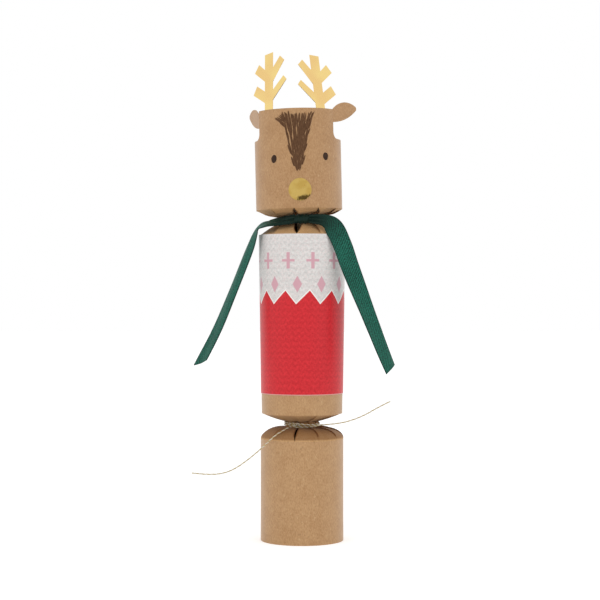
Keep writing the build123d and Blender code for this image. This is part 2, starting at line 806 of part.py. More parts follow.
content_reach = barrel_inner_radius - lane_gap
seat_z = cone_height(barrel_cone_inside, content_reach) + running_gap
roof_z = cone_height(barrel_roof_inside, content_reach) - running_gap

hat_spot = lane(hat_turn, hat_radius + hat_band_thickness + glue_gap)
paper_hat = tube(
    Plane(origin=hat_spot), hat_radius - hat_core_radius, seat_z, hat_length, hat_radius, hat_radius
)
paper_hat.part.label = "paper_hat"
export_step(paper_hat.part, "parts/paper_hat.step")

hat_band_radius = hat_radius + glue_gap + hat_band_thickness
hat_band = tube(
    Plane(origin=hat_spot),
    hat_band_thickness,
    seat_z + (hat_length - hat_band_width) / 2,
    hat_band_width,
    hat_band_radius,
    hat_band_radius,
)
hat_band.part.label = "hat_band"
export_step(hat_band.part, "parts/hat_band.step")

motto_slip = tube(
    Plane(origin=lane(motto_turn, motto_radius)),
    motto_radius - motto_core_radius,
    seat_z,
    motto_length,
    motto_radius,
    motto_radius,
)
motto_slip.part.label = "motto_slip"
export_step(motto_slip.part, "parts/motto_slip.step")

# Spinning top: a turned disc glued on a pointed peg, which stands on the cone
top_spot = lane(top_turn, top_radius)
peg_seat_z = cone_height(barrel_cone_inside, top_spot.length + peg_radius) + running_gap
disc_z = max(seat_z, peg_seat_z + peg_below)
peg_z = disc_z - peg_below
with BuildPart() as top_peg:
    with BuildSketch(Plane(origin=top_spot + Vector(0, 0, peg_z), x_dir=(1, 0, 0), z_dir=(0, -1, 0))):
        Polygon(
            (0, 0),
            (peg_point_radius, 0),
            (peg_radius, peg_point_length),
            (peg_radius, peg_length),
            (0, peg_length),
            align=None,
        )
    revolve(axis=Axis(top_spot, (0, 0, 1)))
top_peg.part.label = "top_peg"
export_step(top_peg.part, "parts/top_peg.step")

with BuildPart() as top_disc:
    with BuildSketch(Plane(origin=top_spot + Vector(0, 0, disc_z))):
        Circle(top_radius)
    extrude(amount=top_thickness)
    fillet(top_disc.edges().filter_by(GeomType.CIRCLE), top_edge_round)
    with BuildSketch(Plane(origin=top_spot + Vector(0, 0, disc_z))):
        Circle(peg_radius + glue_gap)
    extrude(amount=top_thickness, mode=Mode.SUBTRACT)
top_disc.part.label = "top_disc"
export_step(top_disc.part, "parts/top_disc.step")

# How far each piece moves: the pulls clear the snap's strips, and the contents reach the roof
strip_top_z = snap_middle_z + snap_overlap / 2
strip_bottom_z = snap_middle_z - snap_overlap / 2
print("barrel pull clears the lower strip at", round(strip_top_z - lower_tear_z, 2))
print("head pull clears the upper strip at", round(upper_tear_z - strip_bottom_z, 2))
print("free travel of the hat", round(roof_z - seat_z - hat_length, 2))
print("free travel of the motto", round(roof_z - seat_z - motto_length, 2))
print("free travel of the top", round(roof_z - disc_z - max(top_thickness, peg_length - peg_below), 2))
print("levels", foot_height, lower_tear_z, barrel_bottom_z, barrel_top_z, upper_tear_z, seat_z, roof_z)
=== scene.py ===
"""Dresses a kraft card christmas cracker with its print, foil, mirror card, ribbon and twine.

Sizes are in millimetres and turns in degrees from the front, where nothing else is said.
"""

import logging
import math
import random
from dataclasses import dataclass, field
from enum import Enum
from typing import Sequence

import bmesh
import bpy
from mathutils import Euler, Matrix, Vector


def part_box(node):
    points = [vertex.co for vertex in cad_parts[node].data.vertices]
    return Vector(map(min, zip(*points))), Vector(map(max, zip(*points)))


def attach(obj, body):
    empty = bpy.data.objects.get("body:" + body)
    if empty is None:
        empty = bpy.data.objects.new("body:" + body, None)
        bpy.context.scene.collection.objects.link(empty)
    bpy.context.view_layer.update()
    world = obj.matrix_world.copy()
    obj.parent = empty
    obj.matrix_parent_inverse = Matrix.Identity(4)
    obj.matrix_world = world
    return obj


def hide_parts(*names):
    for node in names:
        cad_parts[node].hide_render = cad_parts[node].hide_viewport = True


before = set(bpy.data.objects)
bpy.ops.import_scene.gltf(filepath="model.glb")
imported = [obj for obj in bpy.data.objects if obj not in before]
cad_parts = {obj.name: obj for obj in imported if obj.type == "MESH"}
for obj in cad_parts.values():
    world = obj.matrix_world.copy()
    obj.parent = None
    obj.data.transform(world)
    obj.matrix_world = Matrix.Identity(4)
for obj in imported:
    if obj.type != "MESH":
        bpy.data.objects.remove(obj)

MM = 0.001  # metres in a millimetre
SHARP_ANGLE = 50.0  # degrees between two faces that meet in an edge
ROUTE_STEPS = 16  # points of a smooth line between two of its route's points
RIBBON_WIDTH = 11.0  # millimetres, flat
MAP_SPAN = 150.0  # millimetres of ribbon in one unit of its own map
SCARF_HEIGHT = 191.5  # millimetres up to the middle of the ribbon round the upper neck

# Type names of the nodes that are added most
MATH = "ShaderNodeMath"
VECTOR_MATH = "ShaderNodeVectorMath"
COMBINE = "ShaderNodeCombineXYZ"
SEPARATE = "ShaderNodeSeparateXYZ"
RANGE = "ShaderNodeMapRange"
RAYS = "ShaderNodeLightPath"
PLACE = "ShaderNodeTexCoord"
MAPPING = "ShaderNodeMapping"
NOISE = "ShaderNodeTexNoise"
ATTRIBUTE = "ShaderNodeAttribute"
BUMP = "ShaderNodeBump"
MIX = "ShaderNodeMix"
FIRST, SECOND, MIXED = 6, 7, 2  # colour sockets of a Mix node, whose names repeat
NAMED = "GeometryNodeInputNamedAttribute"
KEEP = "GeometryNodeStoreNamedAttribute"
ROTATION = "FunctionNodeEulerToRotation"
ON_POINTS = "GeometryNodeInstanceOnPoints"
REALIZE = "GeometryNodeRealizeInstances"
POSITION = "GeometryNodeInputPosition"
SET_POSITION = "GeometryNodeSetPosition"
TRANSFORM = "GeometryNodeTransform"

Pair = tuple[float, float]
Point = tuple[float, float, float]
Piece = bpy.types.Object
Socket = bpy.types.NodeSocket
log = logging.getLogger("cracker")


class Body(str, Enum):
    """The moving bodies that a piece can ride on."""

    FOOT = "foot"
    BARREL = "barrel"
    HEAD = "head"
    HAT = "hat"
    MOTTO = "motto"


class Slot(str, Enum):
    """The record's material slots that new pieces name."""

    KRAFT = "kraft_card"
    JUMPER = "jumper_paper"
    RIBBON = "scarf_ribbon"
    TWINE = "twine"
    TISSUE = "tissue"
    MOTTO = "motto_paper"


class Gather(Enum):
    """Whether petals close upwards or downwards from their tube."""

    UP = 1
    DOWN = -1


class Side(str, Enum):
    """Which side of the cracker a free end hangs on, as the camera sees it."""

    LEFT = "left"
    RIGHT = "right"


def linear(hex_code: str) -> tuple[float, float, float, float]:
    """Turn an sRGB hex value into the linear colour of a shader socket.

    Args:
        hex_code: Six hex digits after a hash sign.

    Returns:
        Red, green, blue and a full alpha.
    """
    channels = []
    # The sRGB curve has a short straight foot under a power.
    for start in (1, 3, 5):
        value = int(hex_code[start:start + 2], 16) / 255
        channels.append(value / 12.92 if value <= 0.04045 else ((value + 0.055) / 1.055) ** 2.4)
    return channels[0], channels[1], channels[2], 1.0


def metres(point: Sequence[float]) -> tuple[float, ...]:
    """Turn millimetres into metres."""
    return tuple(value * MM for value in point)


def per_mm(size: float) -> float:
    """The scale of a grain whose size is in millimetres."""
    return 1 / (size * MM)


def outwards(turn: float) -> Vector:
    """The level direction away from the upright axis at a turn in degrees from the front."""
    return Vector((math.sin(math.radians(turn)), -math.cos(math.radians(turn)), 0))


def rightwards(turn: float) -> Vector:
    """The level direction round the axis at a turn, to the right as seen from outside."""
    return Vector((math.cos(math.radians(turn)), math.sin(math.radians(turn)), 0))


def upwards(height: float) -> Vector:
    """The way up the axis to a height."""
    return Vector((0, 0, height))


def link_piece(name: str, mesh: bpy.types.Mesh) -> Piece:
    """Put a mesh in the scene as an object at the origin.

    Args:
        name: The piece's name.
        mesh: Its mesh, already in place.

    Returns:
        The new object.
    """
    piece = bpy.data.objects.new(name, mesh)
    bpy.context.scene.collection.objects.link(piece)
    return piece


def mesh_from(name: str, points: Sequence[Vector], faces: Sequence[Sequence[int]]) -> bpy.types.Mesh:
    """Make a smooth mesh whose faces point outwards.

    Args:
        name: The mesh's name.
        points: Its corners in millimetres.
        faces: Corner numbers of each face.

    Returns:
        The mesh in metres.
    """
    mesh = bpy.data.meshes.new(name)
    mesh.from_pydata([Vector(point) * MM for point in points], [], faces)
    shape = bmesh.new()
    shape.from_mesh(mesh)
    bmesh.ops.recalc_face_normals(shape, faces=shape.faces)
    shape.to_mesh(mesh)
    shape.free()
    mesh.shade_smooth()
    mesh.set_sharp_from_angle(angle=math.radians(SHARP_ANGLE))
    return mesh


def mark_corners(mesh: bpy.types.Mesh, name: str, values: Sequence[float]) -> None:
    """Keep one number for each corner of a mesh, under a name."""
    mesh.attributes.new(name, "FLOAT", "POINT").data.foreach_set("value", values)


def grid_faces(rows: int, columns: int, start: int = 0) -> list[tuple[int, int, int, int]]:
    """Quads of a grid of corners that are counted row by row.

    Args:
        rows: Corners along the grid.
        columns: Corners across it.
        start: Number of its first corner.

    Returns:
        Four corner numbers for each quad.
    """
    quads = []
    for row in range(rows - 1):
        for column in range(columns - 1):
            corner = start + row * columns + column
            quads.append((corner, corner + 1, corner + columns + 1, corner + columns))
    return quads


def shell_faces(rows: int, columns: int) -> list[tuple[int, int, int, int]]:
    """Quads of a closed plate: an outer grid, an inner grid counted after it, and the border.

    Args:
        rows: Corners along each grid.
        columns: Corners across each grid.

    Returns:
        Four corner numbers for each quad.
    """
    inner = rows * columns
    quads = grid_faces(rows, columns) + grid_faces(rows, columns, inner)
    border = list(range(columns))
    border += [row * columns + columns - 1 for row in range(1, rows)]
    border += [(rows - 1) * columns + column for column in range(columns - 2, -1, -1)]
    border += [row * columns for row in range(rows - 2, 0, -1)]
    for here, there in zip(border, border[1:] + border[:1]):
        quads.append((here, there, there + inner, here + inner))
    return quads


def smooth_step(low: float, high: float, value: float) -> float:
    """Ease from 0 below low to 1 above high."""
    share = min(1.0, max(0.0, (value - low) / (high - low)))
    return share * share * (3 - 2 * share)


def through(values: Sequence[Vector], place: float) -> Vector:
    """A smooth line through given vectors: a Catmull-Rom spline.

    Args:
        values: The vectors that it passes through.
        place: Where on it, in whole steps from the first vector.

    Returns:
        The vector at that place.
    """
    last = len(values) - 1
    index = min(int(place), last - 1)
    share = place - index
    before = values[max(index - 1, 0)]
    here = values[index]
    there = values[index + 1]
    after = values[min(index + 2, last)]
    bend = (before * 2 - here * 5 + there * 4 - after) * share
    twist = (here * 3 - before - there * 3 + after) * share * share
    return here + ((there - before) + bend + twist) * (share / 2)


def nurbs_line(points: Sequence[Vector]) -> list[Vector]:
    """The smooth line of a route: a NURBS spline with the route's points as its control points.

    Args:
        points: The route in millimetres.

    Returns:
        Points along the spline, in metres.
    """
    curve = bpy.data.curves.new("route", "CURVE")
    curve.dimensions = "3D"
    curve.resolution_u = ROUTE_STEPS
    spline = curve.splines.new("NURBS")
    spline.points.add(len(points) - 1)
    for control, point in zip(spline.points, points):
        control.co = (*(Vector(point) * MM), 1.0)
    spline.order_u = 3
    spline.use_endpoint_u = True
    holder = bpy.data.objects.new("route", curve)
    bpy.context.scene.collection.objects.link(holder)
    drawn = holder.evaluated_get(bpy.context.evaluated_depsgraph_get())
    mesh = bpy.data.meshes.new_from_object(drawn)
    line = [vertex.co.copy() for vertex in mesh.vertices]
    bpy.data.objects.remove(holder)
    bpy.data.curves.remove(curve)
    bpy.data.meshes.remove(mesh)
    return line


def thicken(piece: Piece, thickness: float) -> None:
    """Give a sheet its thickness, half on each side.

    Args:
        piece: The sheet.
        thickness: The thickness in millimetres.
    """
    wall = piece.modifiers.new("thickness", "SOLIDIFY")
    wall.thickness = thickness * MM
    wall.offset = 0.0


def settle(piece: Piece, body: Body, slot: Slot | None = None, *nodes: str) -> Piece:
    """Say what a piece rides on, and hide the CAD nodes that it stands for.

    Args:
        piece: The piece.
        body: The body that carries it.
        slot: The record's material slot, if it has one; it is not used.
        nodes: The nodes that it stands for, if any.

    Returns:
        The same piece.
    """
    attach(piece, body.value)
    if nodes:
        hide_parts(*nodes)
    return piece


class Wiring:
    """A node tree that nodes are added to."""

    def __init__(self, tree: bpy.types.NodeTree) -> None:
        """Take the tree that the nodes go into."""
        self.tree = tree

    def add(
        self, kind: str, inputs: dict | Sequence = (), output: int | str = 0, **settings: object
    ) -> Socket:
        """Add one node with its settings, its constants and its links.

        Args:
            kind: The node's type name.
            inputs: Constants and other nodes' outputs, by socket name or number, or in the sockets' order.
            output: Name or number of the output that is wanted.
            settings: The node's own properties.

        Returns:
            The output.
        """
        node = self.tree.nodes.new(kind)
        for name, value in settings.items():
            setattr(node, name, value)
        for key, value in inputs.items() if isinstance(inputs, dict) else enumerate(inputs):
            self.feed(node.inputs[key], value)
        return node.outputs[output]

    def feed(self, socket: Socket, value: object) -> None:
        """Link an input to another node's output, or set it to a constant.

        Args:
            socket: The input.
            value: The output or the constant, which is a hex value for a colour.
        """
        if isinstance(value, Socket):
            self.tree.links.new(value, socket)
        else:
            socket.default_value = linear(value) if socket.type == "RGBA" else value


@dataclass(frozen=True)
class Finish:
    """A procedural finish, made once and then handed out.

    Its limits are the levels of a grain between which a look changes, and its shares say how much of
    a thing goes in.
    """

    name: str

    def material(self) -> bpy.types.Material:
        """The finish's material, made when it is first asked for."""
        return bpy.data.materials.get(self.name) or self.make()

    def make(self) -> bpy.types.Material:
        """Build the material.

        Returns:
            The material.
        """
        material = bpy.data.materials.new(self.name)
        material.use_nodes = True
        tree = Wiring(material.node_tree)
        shader = material.node_tree.nodes["Principled BSDF"]
        for name, value in self.looks(tree).items():
            tree.feed(shader.inputs[name], value)
        return material

    def looks(self, tree: Wiring) -> dict[str, object]:
        """What goes into the shader's sockets; each finish has its own way.

        Args:
            tree: The new material's nodes.

        Returns:
            Each of the shader's sockets with its constant or output.
        """
        raise NotImplementedError

    def dress(self, piece: Piece) -> None:
        """Give a piece this finish and no other."""
        piece.data.materials.clear()
        piece.data.materials.append(self.material())


@dataclass(frozen=True)
class KraftCard(Finish):
    """Unbleached kraft card off the roll: matt, with drawn fibres, clouds of tone and dark flecks.

    The eye sees a warm brown that is never even: short fibres run up the tube, and a soft sheen lifts
    the colour where the tube turns away. Where a piece carries a petal_shade share, painted shade
    darkens it: the petals toward the neck, along their slits and on their insides.
    """

    dark: str = "#A87D4F"
    light: str = "#C29A6D"
    fleck: str = "#8A6540"
    pale_fibre: str = "#D3B48B"
    # Painted shade colour, laid on by each corner's petal_shade share
    painted_shade_brown: str = "#6B3F18"
    fibre_width: float = 0.6
    fibre_stretch: float = 0.45
    cloud_size: float = 7.0
    cloudiness: float = 0.3
    tone_limits: Pair = (0.47, 0.83)
    fleck_size: float = 1.1
    fleck_limits: Pair = (0.64, 0.76)
    pale_limits: Pair = (0.34, 0.24)
    fleck_share: float = 0.5
    relief: float = 0.05
    gloss: Pair = (0.36, 0.56)
    ior: float = 1.5
    sheen: float = 0.2

    def looks(self, tree: Wiring) -> dict[str, object]:
        """Lay clouds, flecks, pale fibres and painted shade over the brown.

        Args:
            tree: The material's nodes.

        Returns:
            Each of the shader's sockets with its constant or output.
        """
        place = tree.add(PLACE, output="Object")
        drawn = tree.add(MAPPING, {0: place, "Scale": (1, 1, self.fibre_stretch)})
        fibres = {"Vector": drawn, "Scale": per_mm(self.fibre_width), "Detail": 4.0, "Roughness": 0.65}
        fibre = tree.add(NOISE, fibres)
        cloud = tree.add(NOISE, {"Vector": place, "Scale": per_mm(self.cloud_size), "Detail": 3.0})
        speck = tree.add(NOISE, {"Vector": drawn, "Scale": per_mm(self.fleck_size), "Detail": 2.0})
        clouded = tree.add(MATH, (cloud, self.cloudiness, fibre), operation="MULTIPLY_ADD")
        tone = tree.add(RANGE, (clouded, *self.tone_limits))
        brown = tree.add(MIX, {0: tone, FIRST: self.dark, SECOND: self.light}, MIXED, data_type="RGBA")
        dark_spot = tree.add(RANGE, (speck, *self.fleck_limits, 0.0, self.fleck_share))
        flecked = tree.add(MIX, {0: dark_spot, FIRST: brown, SECOND: self.fleck}, MIXED, data_type="RGBA")
        pale_spot = tree.add(RANGE, (speck, *self.pale_limits, 0.0, self.fleck_share))
        paler = {0: pale_spot, FIRST: flecked, SECOND: self.pale_fibre}
        fibrous = tree.add(MIX, paler, MIXED, data_type="RGBA")
        # Painted shade: petal corners carry a petal_shade share from 0 to 1, and other pieces carry none
        petal_shade = tree.add(ATTRIBUTE, output="Fac", attribute_name="petal_shade")
        with_painted_shade = tree.add(MIX, {0: petal_shade, FIRST: fibrous, SECOND: self.painted_shade_brown}, MIXED, data_type="RGBA")
        return {
            "Base Color": with_painted_shade,
            "Roughness": tree.add(RANGE, (fibre, 0.0, 1.0, *self.gloss)),
            "Normal": tree.add(BUMP, {"Height": fibre, "Strength": 0.5, "Distance": self.relief * MM}),
            "IOR": self.ior,
            "Sheen Weight": self.sheen,
            "Sheen Roughness": 0.45,
        }


@dataclass(frozen=True)
class PlainPaper(Finish):
    """Thin paper or board in one colour, pressed from pulp: matt and faintly cloudy, with a fine tooth."""

    colour: str
    shade: str
    tooth: float = 0.6
    cloud_size: float = 5.0
    tone_limits: Pair = (0.35, 0.65)
    relief: float = 0.03
    roughness: float = 0.8

    def looks(self, tree: Wiring) -> dict[str, object]:
        """Cloud the paper's colour and roughen it.

        Args:
            tree: The material's nodes.

        Returns:
            Each of the shader's sockets with its constant or output.
        """
        place = tree.add(PLACE, output="Object")
        cloud = tree.add(NOISE, {"Vector": place, "Scale": per_mm(self.cloud_size), "Detail": 5.0})
        grit = tree.add(NOISE, {"Vector": place, "Scale": per_mm(self.tooth), "Detail": 2.0})
        tone = tree.add(RANGE, (cloud, *self.tone_limits))
        cloudy = tree.add(MIX, {0: tone, FIRST: self.shade, SECOND: self.colour}, MIXED, data_type="RGBA")
        return {
            "Base Color": cloudy,
            "Normal": tree.add(BUMP, {"Height": grit, "Strength": 0.4, "Distance": self.relief * MM}),
            "Roughness": self.roughness,
        }


@dataclass(frozen=True)
class JumperPrint(Finish):
    """Uncoated paper printed as a knitted jumper: a speckled pale yoke with a red body under a zigzag.

    The eye reads rows of small knit stitches, pink crosses and diamonds, and a clean white line
    where the red begins. The stitches are 4 mm wide and 3.5 mm high, in rows that lean both ways.
    """

    repeats: int = 11
    wall: float = 25.6
    cross_turn: float = -18.5
    cross_height: float = 166.9
    cross_half: Pair = (3.9, 4.8)
    cross_arm: Pair = (1.0, 0.7)
    diamond_turn: float = -6.3
    diamond_height: float = 153.0
    diamond_half: Pair = (2.8, 4.9)
    peak_turn: float = -22.4
    peak_height: float = 149.2
    valley_height: float = 141.2
    fall_share: float = 0.44
    line_width: float = 1.0
    hem_height: float = 88.3
    hem_share: float = 0.4
    stitch: Pair = (4.02, 3.55)
    stitch_share: float = 0.27
    speckle_size: float = 1.0
    speckle_share: float = 1.35
    middle_tone: float = 0.4
    blush_size: float = 0.9
    blush_level: float = 0.6
    blush_limits: Pair = (0.42, 0.66)
    blush_share: float = 0.4
    relief: float = 0.04
    yoke: str = "#F2EFEC"
    yoke_shade: str = "#C4C2BF"
    yoke_blush: str = "#E8D3D1"
    pink: str = "#D3A3AD"
    red: str = "#E42B34"
    red_shade: str = "#BC141F"
    white: str = "#F4F0EB"

    @property
    def per_degree(self) -> float:
        """How much of a repeat lies in one degree round the barrel."""
        return self.repeats / 360

    def looks(self, tree: Wiring) -> dict[str, object]:
        """Draw the print from the height and the turn round the barrel.

        Args:
            tree: The material's nodes.

        Returns:
            Each of the shader's sockets with its constant or output.
        """
        place = tree.add(PLACE, output="Object")
        right, back, up = tree.add(SEPARATE, (place,)).node.outputs
        height = tree.add(MATH, (up, 1 / MM), operation="MULTIPLY")
        front = tree.add(MATH, (back, -1.0), operation="MULTIPLY")
        turn = tree.add(MATH, (right, front), operation="ARCTAN2")
        repeat = tree.add(MATH, (turn, self.repeats / (2 * math.pi)), operation="MULTIPLY")
        knit = self.knit(tree, place, height, turn)
        level = tree.add(MAPPING, {0: place, "Scale": (self.blush_level, self.blush_level, 1)})
        blush = tree.add(NOISE, {"Vector": level, "Scale": per_mm(self.blush_size), "Detail": 3.0})
        over = self.over_zigzag(tree, height, repeat)
        hem = tree.add(MATH, (height, self.hem_height), operation="LESS_THAN")
        red = tree.add(MIX, {0: knit, FIRST: self.red_shade, SECOND: self.red}, MIXED, data_type="RGBA")
        colour = tree.add(MIX, {0: knit, FIRST: self.yoke_shade, SECOND: self.yoke}, MIXED, data_type="RGBA")
        layers = (
            (tree.add(RANGE, (blush, *self.blush_limits, 0.0, self.blush_share)), self.yoke_blush),
            (self.motifs(tree, height, repeat), self.pink),
            (tree.add(MATH, (over, self.line_width), operation="LESS_THAN"), self.white),
            (tree.add(MATH, (over, 0.0), operation="LESS_THAN"), red),
            (tree.add(MATH, (hem, self.hem_share), operation="MULTIPLY"), self.white),
        )
        for share, ink in layers:
            colour = tree.add(MIX, {0: share, FIRST: colour, SECOND: ink}, MIXED, data_type="RGBA")
        return {
            "Base Color": colour,
            "Normal": tree.add(BUMP, {"Height": knit, "Strength": 0.3, "Distance": self.relief * MM}),
            "Roughness": 0.4,
            "IOR": 1.4,
        }

    def motifs(self, tree: Wiring, height: Socket, repeat: Socket) -> Socket:
        """The crosses and the diamonds of the yoke.

        Args:
            tree: The material's nodes.
            height: Height on the barrel in millimetres.
            repeat: The turn round the barrel, in repeats of the pattern.

        Returns:
            1 on a motif and 0 beside it.
        """
        repeat_width = 2 * math.pi * self.wall / self.repeats
        upright = (self.cross_arm[0], self.cross_half[1])
        level = (self.cross_half[0], self.cross_arm[1])
        rows = (
            (self.cross_turn, self.cross_height, upright, "MAXIMUM"),
            (self.cross_turn, self.cross_height, level, "MAXIMUM"),
            (self.diamond_turn, self.diamond_height, self.diamond_half, "ADD"),
        )
        marks = []
        for turn, middle, half, outline in rows:
            shifted = tree.add(MATH, (repeat, turn * self.per_degree - 0.5), operation="SUBTRACT")
            part = tree.add(MATH, (shifted,), operation="FRACT")
            centred = tree.add(MATH, (part, 0.5), operation="SUBTRACT")
            beside = tree.add(MATH, (centred,), operation="ABSOLUTE")
            across = tree.add(MATH, (beside, repeat_width), operation="MULTIPLY")
            over = tree.add(MATH, (height, middle), operation="SUBTRACT")
            above = tree.add(MATH, (over,), operation="ABSOLUTE")
            wide = tree.add(MATH, (across, half[0]), operation="DIVIDE")
            tall = tree.add(MATH, (above, half[1]), operation="DIVIDE")
            reach = tree.add(MATH, (wide, tall), operation=outline)
            marks.append(tree.add(MATH, (reach, 1.0), operation="LESS_THAN"))
        cross = tree.add(MATH, marks[:2], operation="MAXIMUM")
        return tree.add(MATH, (cross, marks[2]), operation="MAXIMUM")

    def over_zigzag(self, tree: Wiring, height: Socket, repeat: Socket) -> Socket:
        """How far a place is over the zigzag where the red ends.

        Args:
            tree: The material's nodes.
            height: Height on the barrel in millimetres.
            repeat: The turn round the barrel, in repeats of the pattern.

        Returns:
            The distance in millimetres, below 0 on the red.
        """
        rise_share = 1 - self.fall_share
        shifted = tree.add(MATH, (repeat, self.peak_turn * self.per_degree), operation="SUBTRACT")
        run = tree.add(MATH, (shifted,), operation="FRACT")
        falling = tree.add(MATH, (run, -1 / self.fall_share, 1.0), operation="MULTIPLY_ADD")
        slope = 1 / rise_share
        start = -self.fall_share / rise_share
        rising = tree.add(MATH, (run, slope, start), operation="MULTIPLY_ADD")
        wave = tree.add(MATH, (falling, rising), operation="MAXIMUM")
        rise = self.peak_height - self.valley_height
        zigzag = tree.add(MATH, (wave, rise, self.valley_height), operation="MULTIPLY_ADD")
        return tree.add(MATH, (height, zigzag), operation="SUBTRACT")

    def knit(self, tree: Wiring, place: Socket, height: Socket, turn: Socket) -> Socket:
        """The light and dark of the knit stitches, with a random speckle over them.

        Args:
            tree: The material's nodes.
            place: The place on the barrel.
            height: Height on the barrel in millimetres.
            turn: The turn round the barrel in radians.

        Returns:
            The tone, 0 for shade and 1 for light.
        """
        stitches = round(2 * math.pi * self.wall / self.stitch[0])
        ground = self.middle_tone - self.stitch_share / 2 - self.speckle_share / 2
        columns = tree.add(MATH, (turn, stitches / (2 * math.pi)), operation="MULTIPLY")
        column = tree.add(MATH, (columns,), operation="FRACT")
        centred = tree.add(MATH, (column, 0.5), operation="SUBTRACT")
        lean = tree.add(MATH, (centred,), operation="ABSOLUTE")
        rows = tree.add(MATH, (height, 1 / self.stitch[1], lean), operation="MULTIPLY_ADD")
        row = tree.add(MATH, (rows,), operation="FRACT")
        doubled = tree.add(MATH, (row, 2.0), operation="MULTIPLY")
        stitch = tree.add(MATH, (doubled, 1.0), operation="PINGPONG")
        speckle = tree.add(NOISE, {"Vector": place, "Scale": per_mm(self.speckle_size), "Detail": 3.0})
        dotted = tree.add(MATH, (speckle, self.speckle_share, ground), operation="MULTIPLY_ADD")
        return tree.add(MATH, (stitch, self.stitch_share, dotted), operation="MULTIPLY_ADD")


@dataclass(frozen=True)
class GoldFilm(Finish):
    """Gold film laminated on card: a pale mirror, softened by the card's own fine unevenness.

    The eye sees a bright straw yellow that takes its light from the room, warmer in soft patches of
    painted reflection, with faint streaks where the film was rolled down. Where wear is given, a
    mottled patch has lost its film.
    """

    gold: str = "#F2D58C"
    # A deeper gold for the patches of painted reflection
    deep: str = "#EDC986"
    tint_size: float = 14.0
    tint_limits: Pair = (0.38, 0.62)
    streak_size: float = 0.9
    streak_stretch: float = 0.15
    streak_limits: Pair = (0.3, 0.7)
    gloss: Pair = (0.14, 0.3)
    wave_size: float = 5.0
    wave_height: float = 0.015
    wear: str = ""
    wear_spot: Point = (0.0, 0.0, 0.0)
    wear_reach: Point = (1.0, 1.0, 1.0)
    wear_slope: float = 0.0
    wear_limits: Pair = (2.3, 1.7)
    wear_share: float = 0.95
    mottle_size: float = 1.0
    mottle_stretch: float = 0.4
    mottle_share: float = 2.4

    def looks(self, tree: Wiring) -> dict[str, object]:
        """Tint the film, streak it and let it take the card's waves.

        Args:
            tree: The material's nodes.

        Returns:
            Each of the shader's sockets with its constant or output.
        """
        place = tree.add(PLACE, output="Object")
        # Painted reflection: soft patches of deeper gold, for the room's uneven reflection in the film
        tint = tree.add(NOISE, {"Vector": place, "Scale": per_mm(self.tint_size), "Detail": 1.0})
        painted_reflection = tree.add(RANGE, (tint, *self.tint_limits))
        film = tree.add(MIX, {0: painted_reflection, FIRST: self.gold, SECOND: self.deep}, MIXED, data_type="RGBA")
        drawn = tree.add(MAPPING, {0: place, "Scale": (1, 1, self.streak_stretch)})
        streak = tree.add(NOISE, {"Vector": drawn, "Scale": per_mm(self.streak_size), "Detail": 3.0})
        wave = tree.add(NOISE, {"Vector": place, "Scale": per_mm(self.wave_size), "Detail": 2.0})
        return {
            "Base Color": self.worn(tree, place, film) if self.wear else film,
            "Metallic": 1.0,
            "Roughness": tree.add(RANGE, (streak, *self.streak_limits, *self.gloss)),
            "Normal": tree.add(BUMP, {"Height": wave, "Strength": 1.0, "Distance": self.wave_height * MM}),
        }

    def worn(self, tree: Wiring, place: Socket, film: Socket) -> Socket:
        """Rub the film off in a ragged patch.

        Args:
            tree: The material's nodes.
            place: The place on the piece.
            film: The whole film's colour.

        Returns:
            The colour with the patch.
        """
        patch = {
            0: place,
            "Location": metres(self.wear_spot),
            "Rotation": (0, -math.radians(self.wear_slope), 0),
            "Scale": metres(self.wear_reach),
        }
        near = tree.add(MAPPING, patch, vector_type="TEXTURE")
        far = tree.add(VECTOR_MATH, (near,), output="Value", operation="LENGTH")
        drawn = tree.add(MAPPING, {0: place, "Scale": (1, 1, self.mottle_stretch)})
        mottle = tree.add(NOISE, {"Vector": drawn, "Scale": per_mm(self.mottle_size), "Detail": 3.0})
        ragged = tree.add(MATH, (mottle, self.mottle_share, far), operation="MULTIPLY_ADD")
        bare = tree.add(RANGE, (ragged, *self.wear_limits, 0.0, self.wear_share))
        return tree.add(MIX, {0: bare, FIRST: film, SECOND: self.wear}, MIXED, data_type="RGBA")


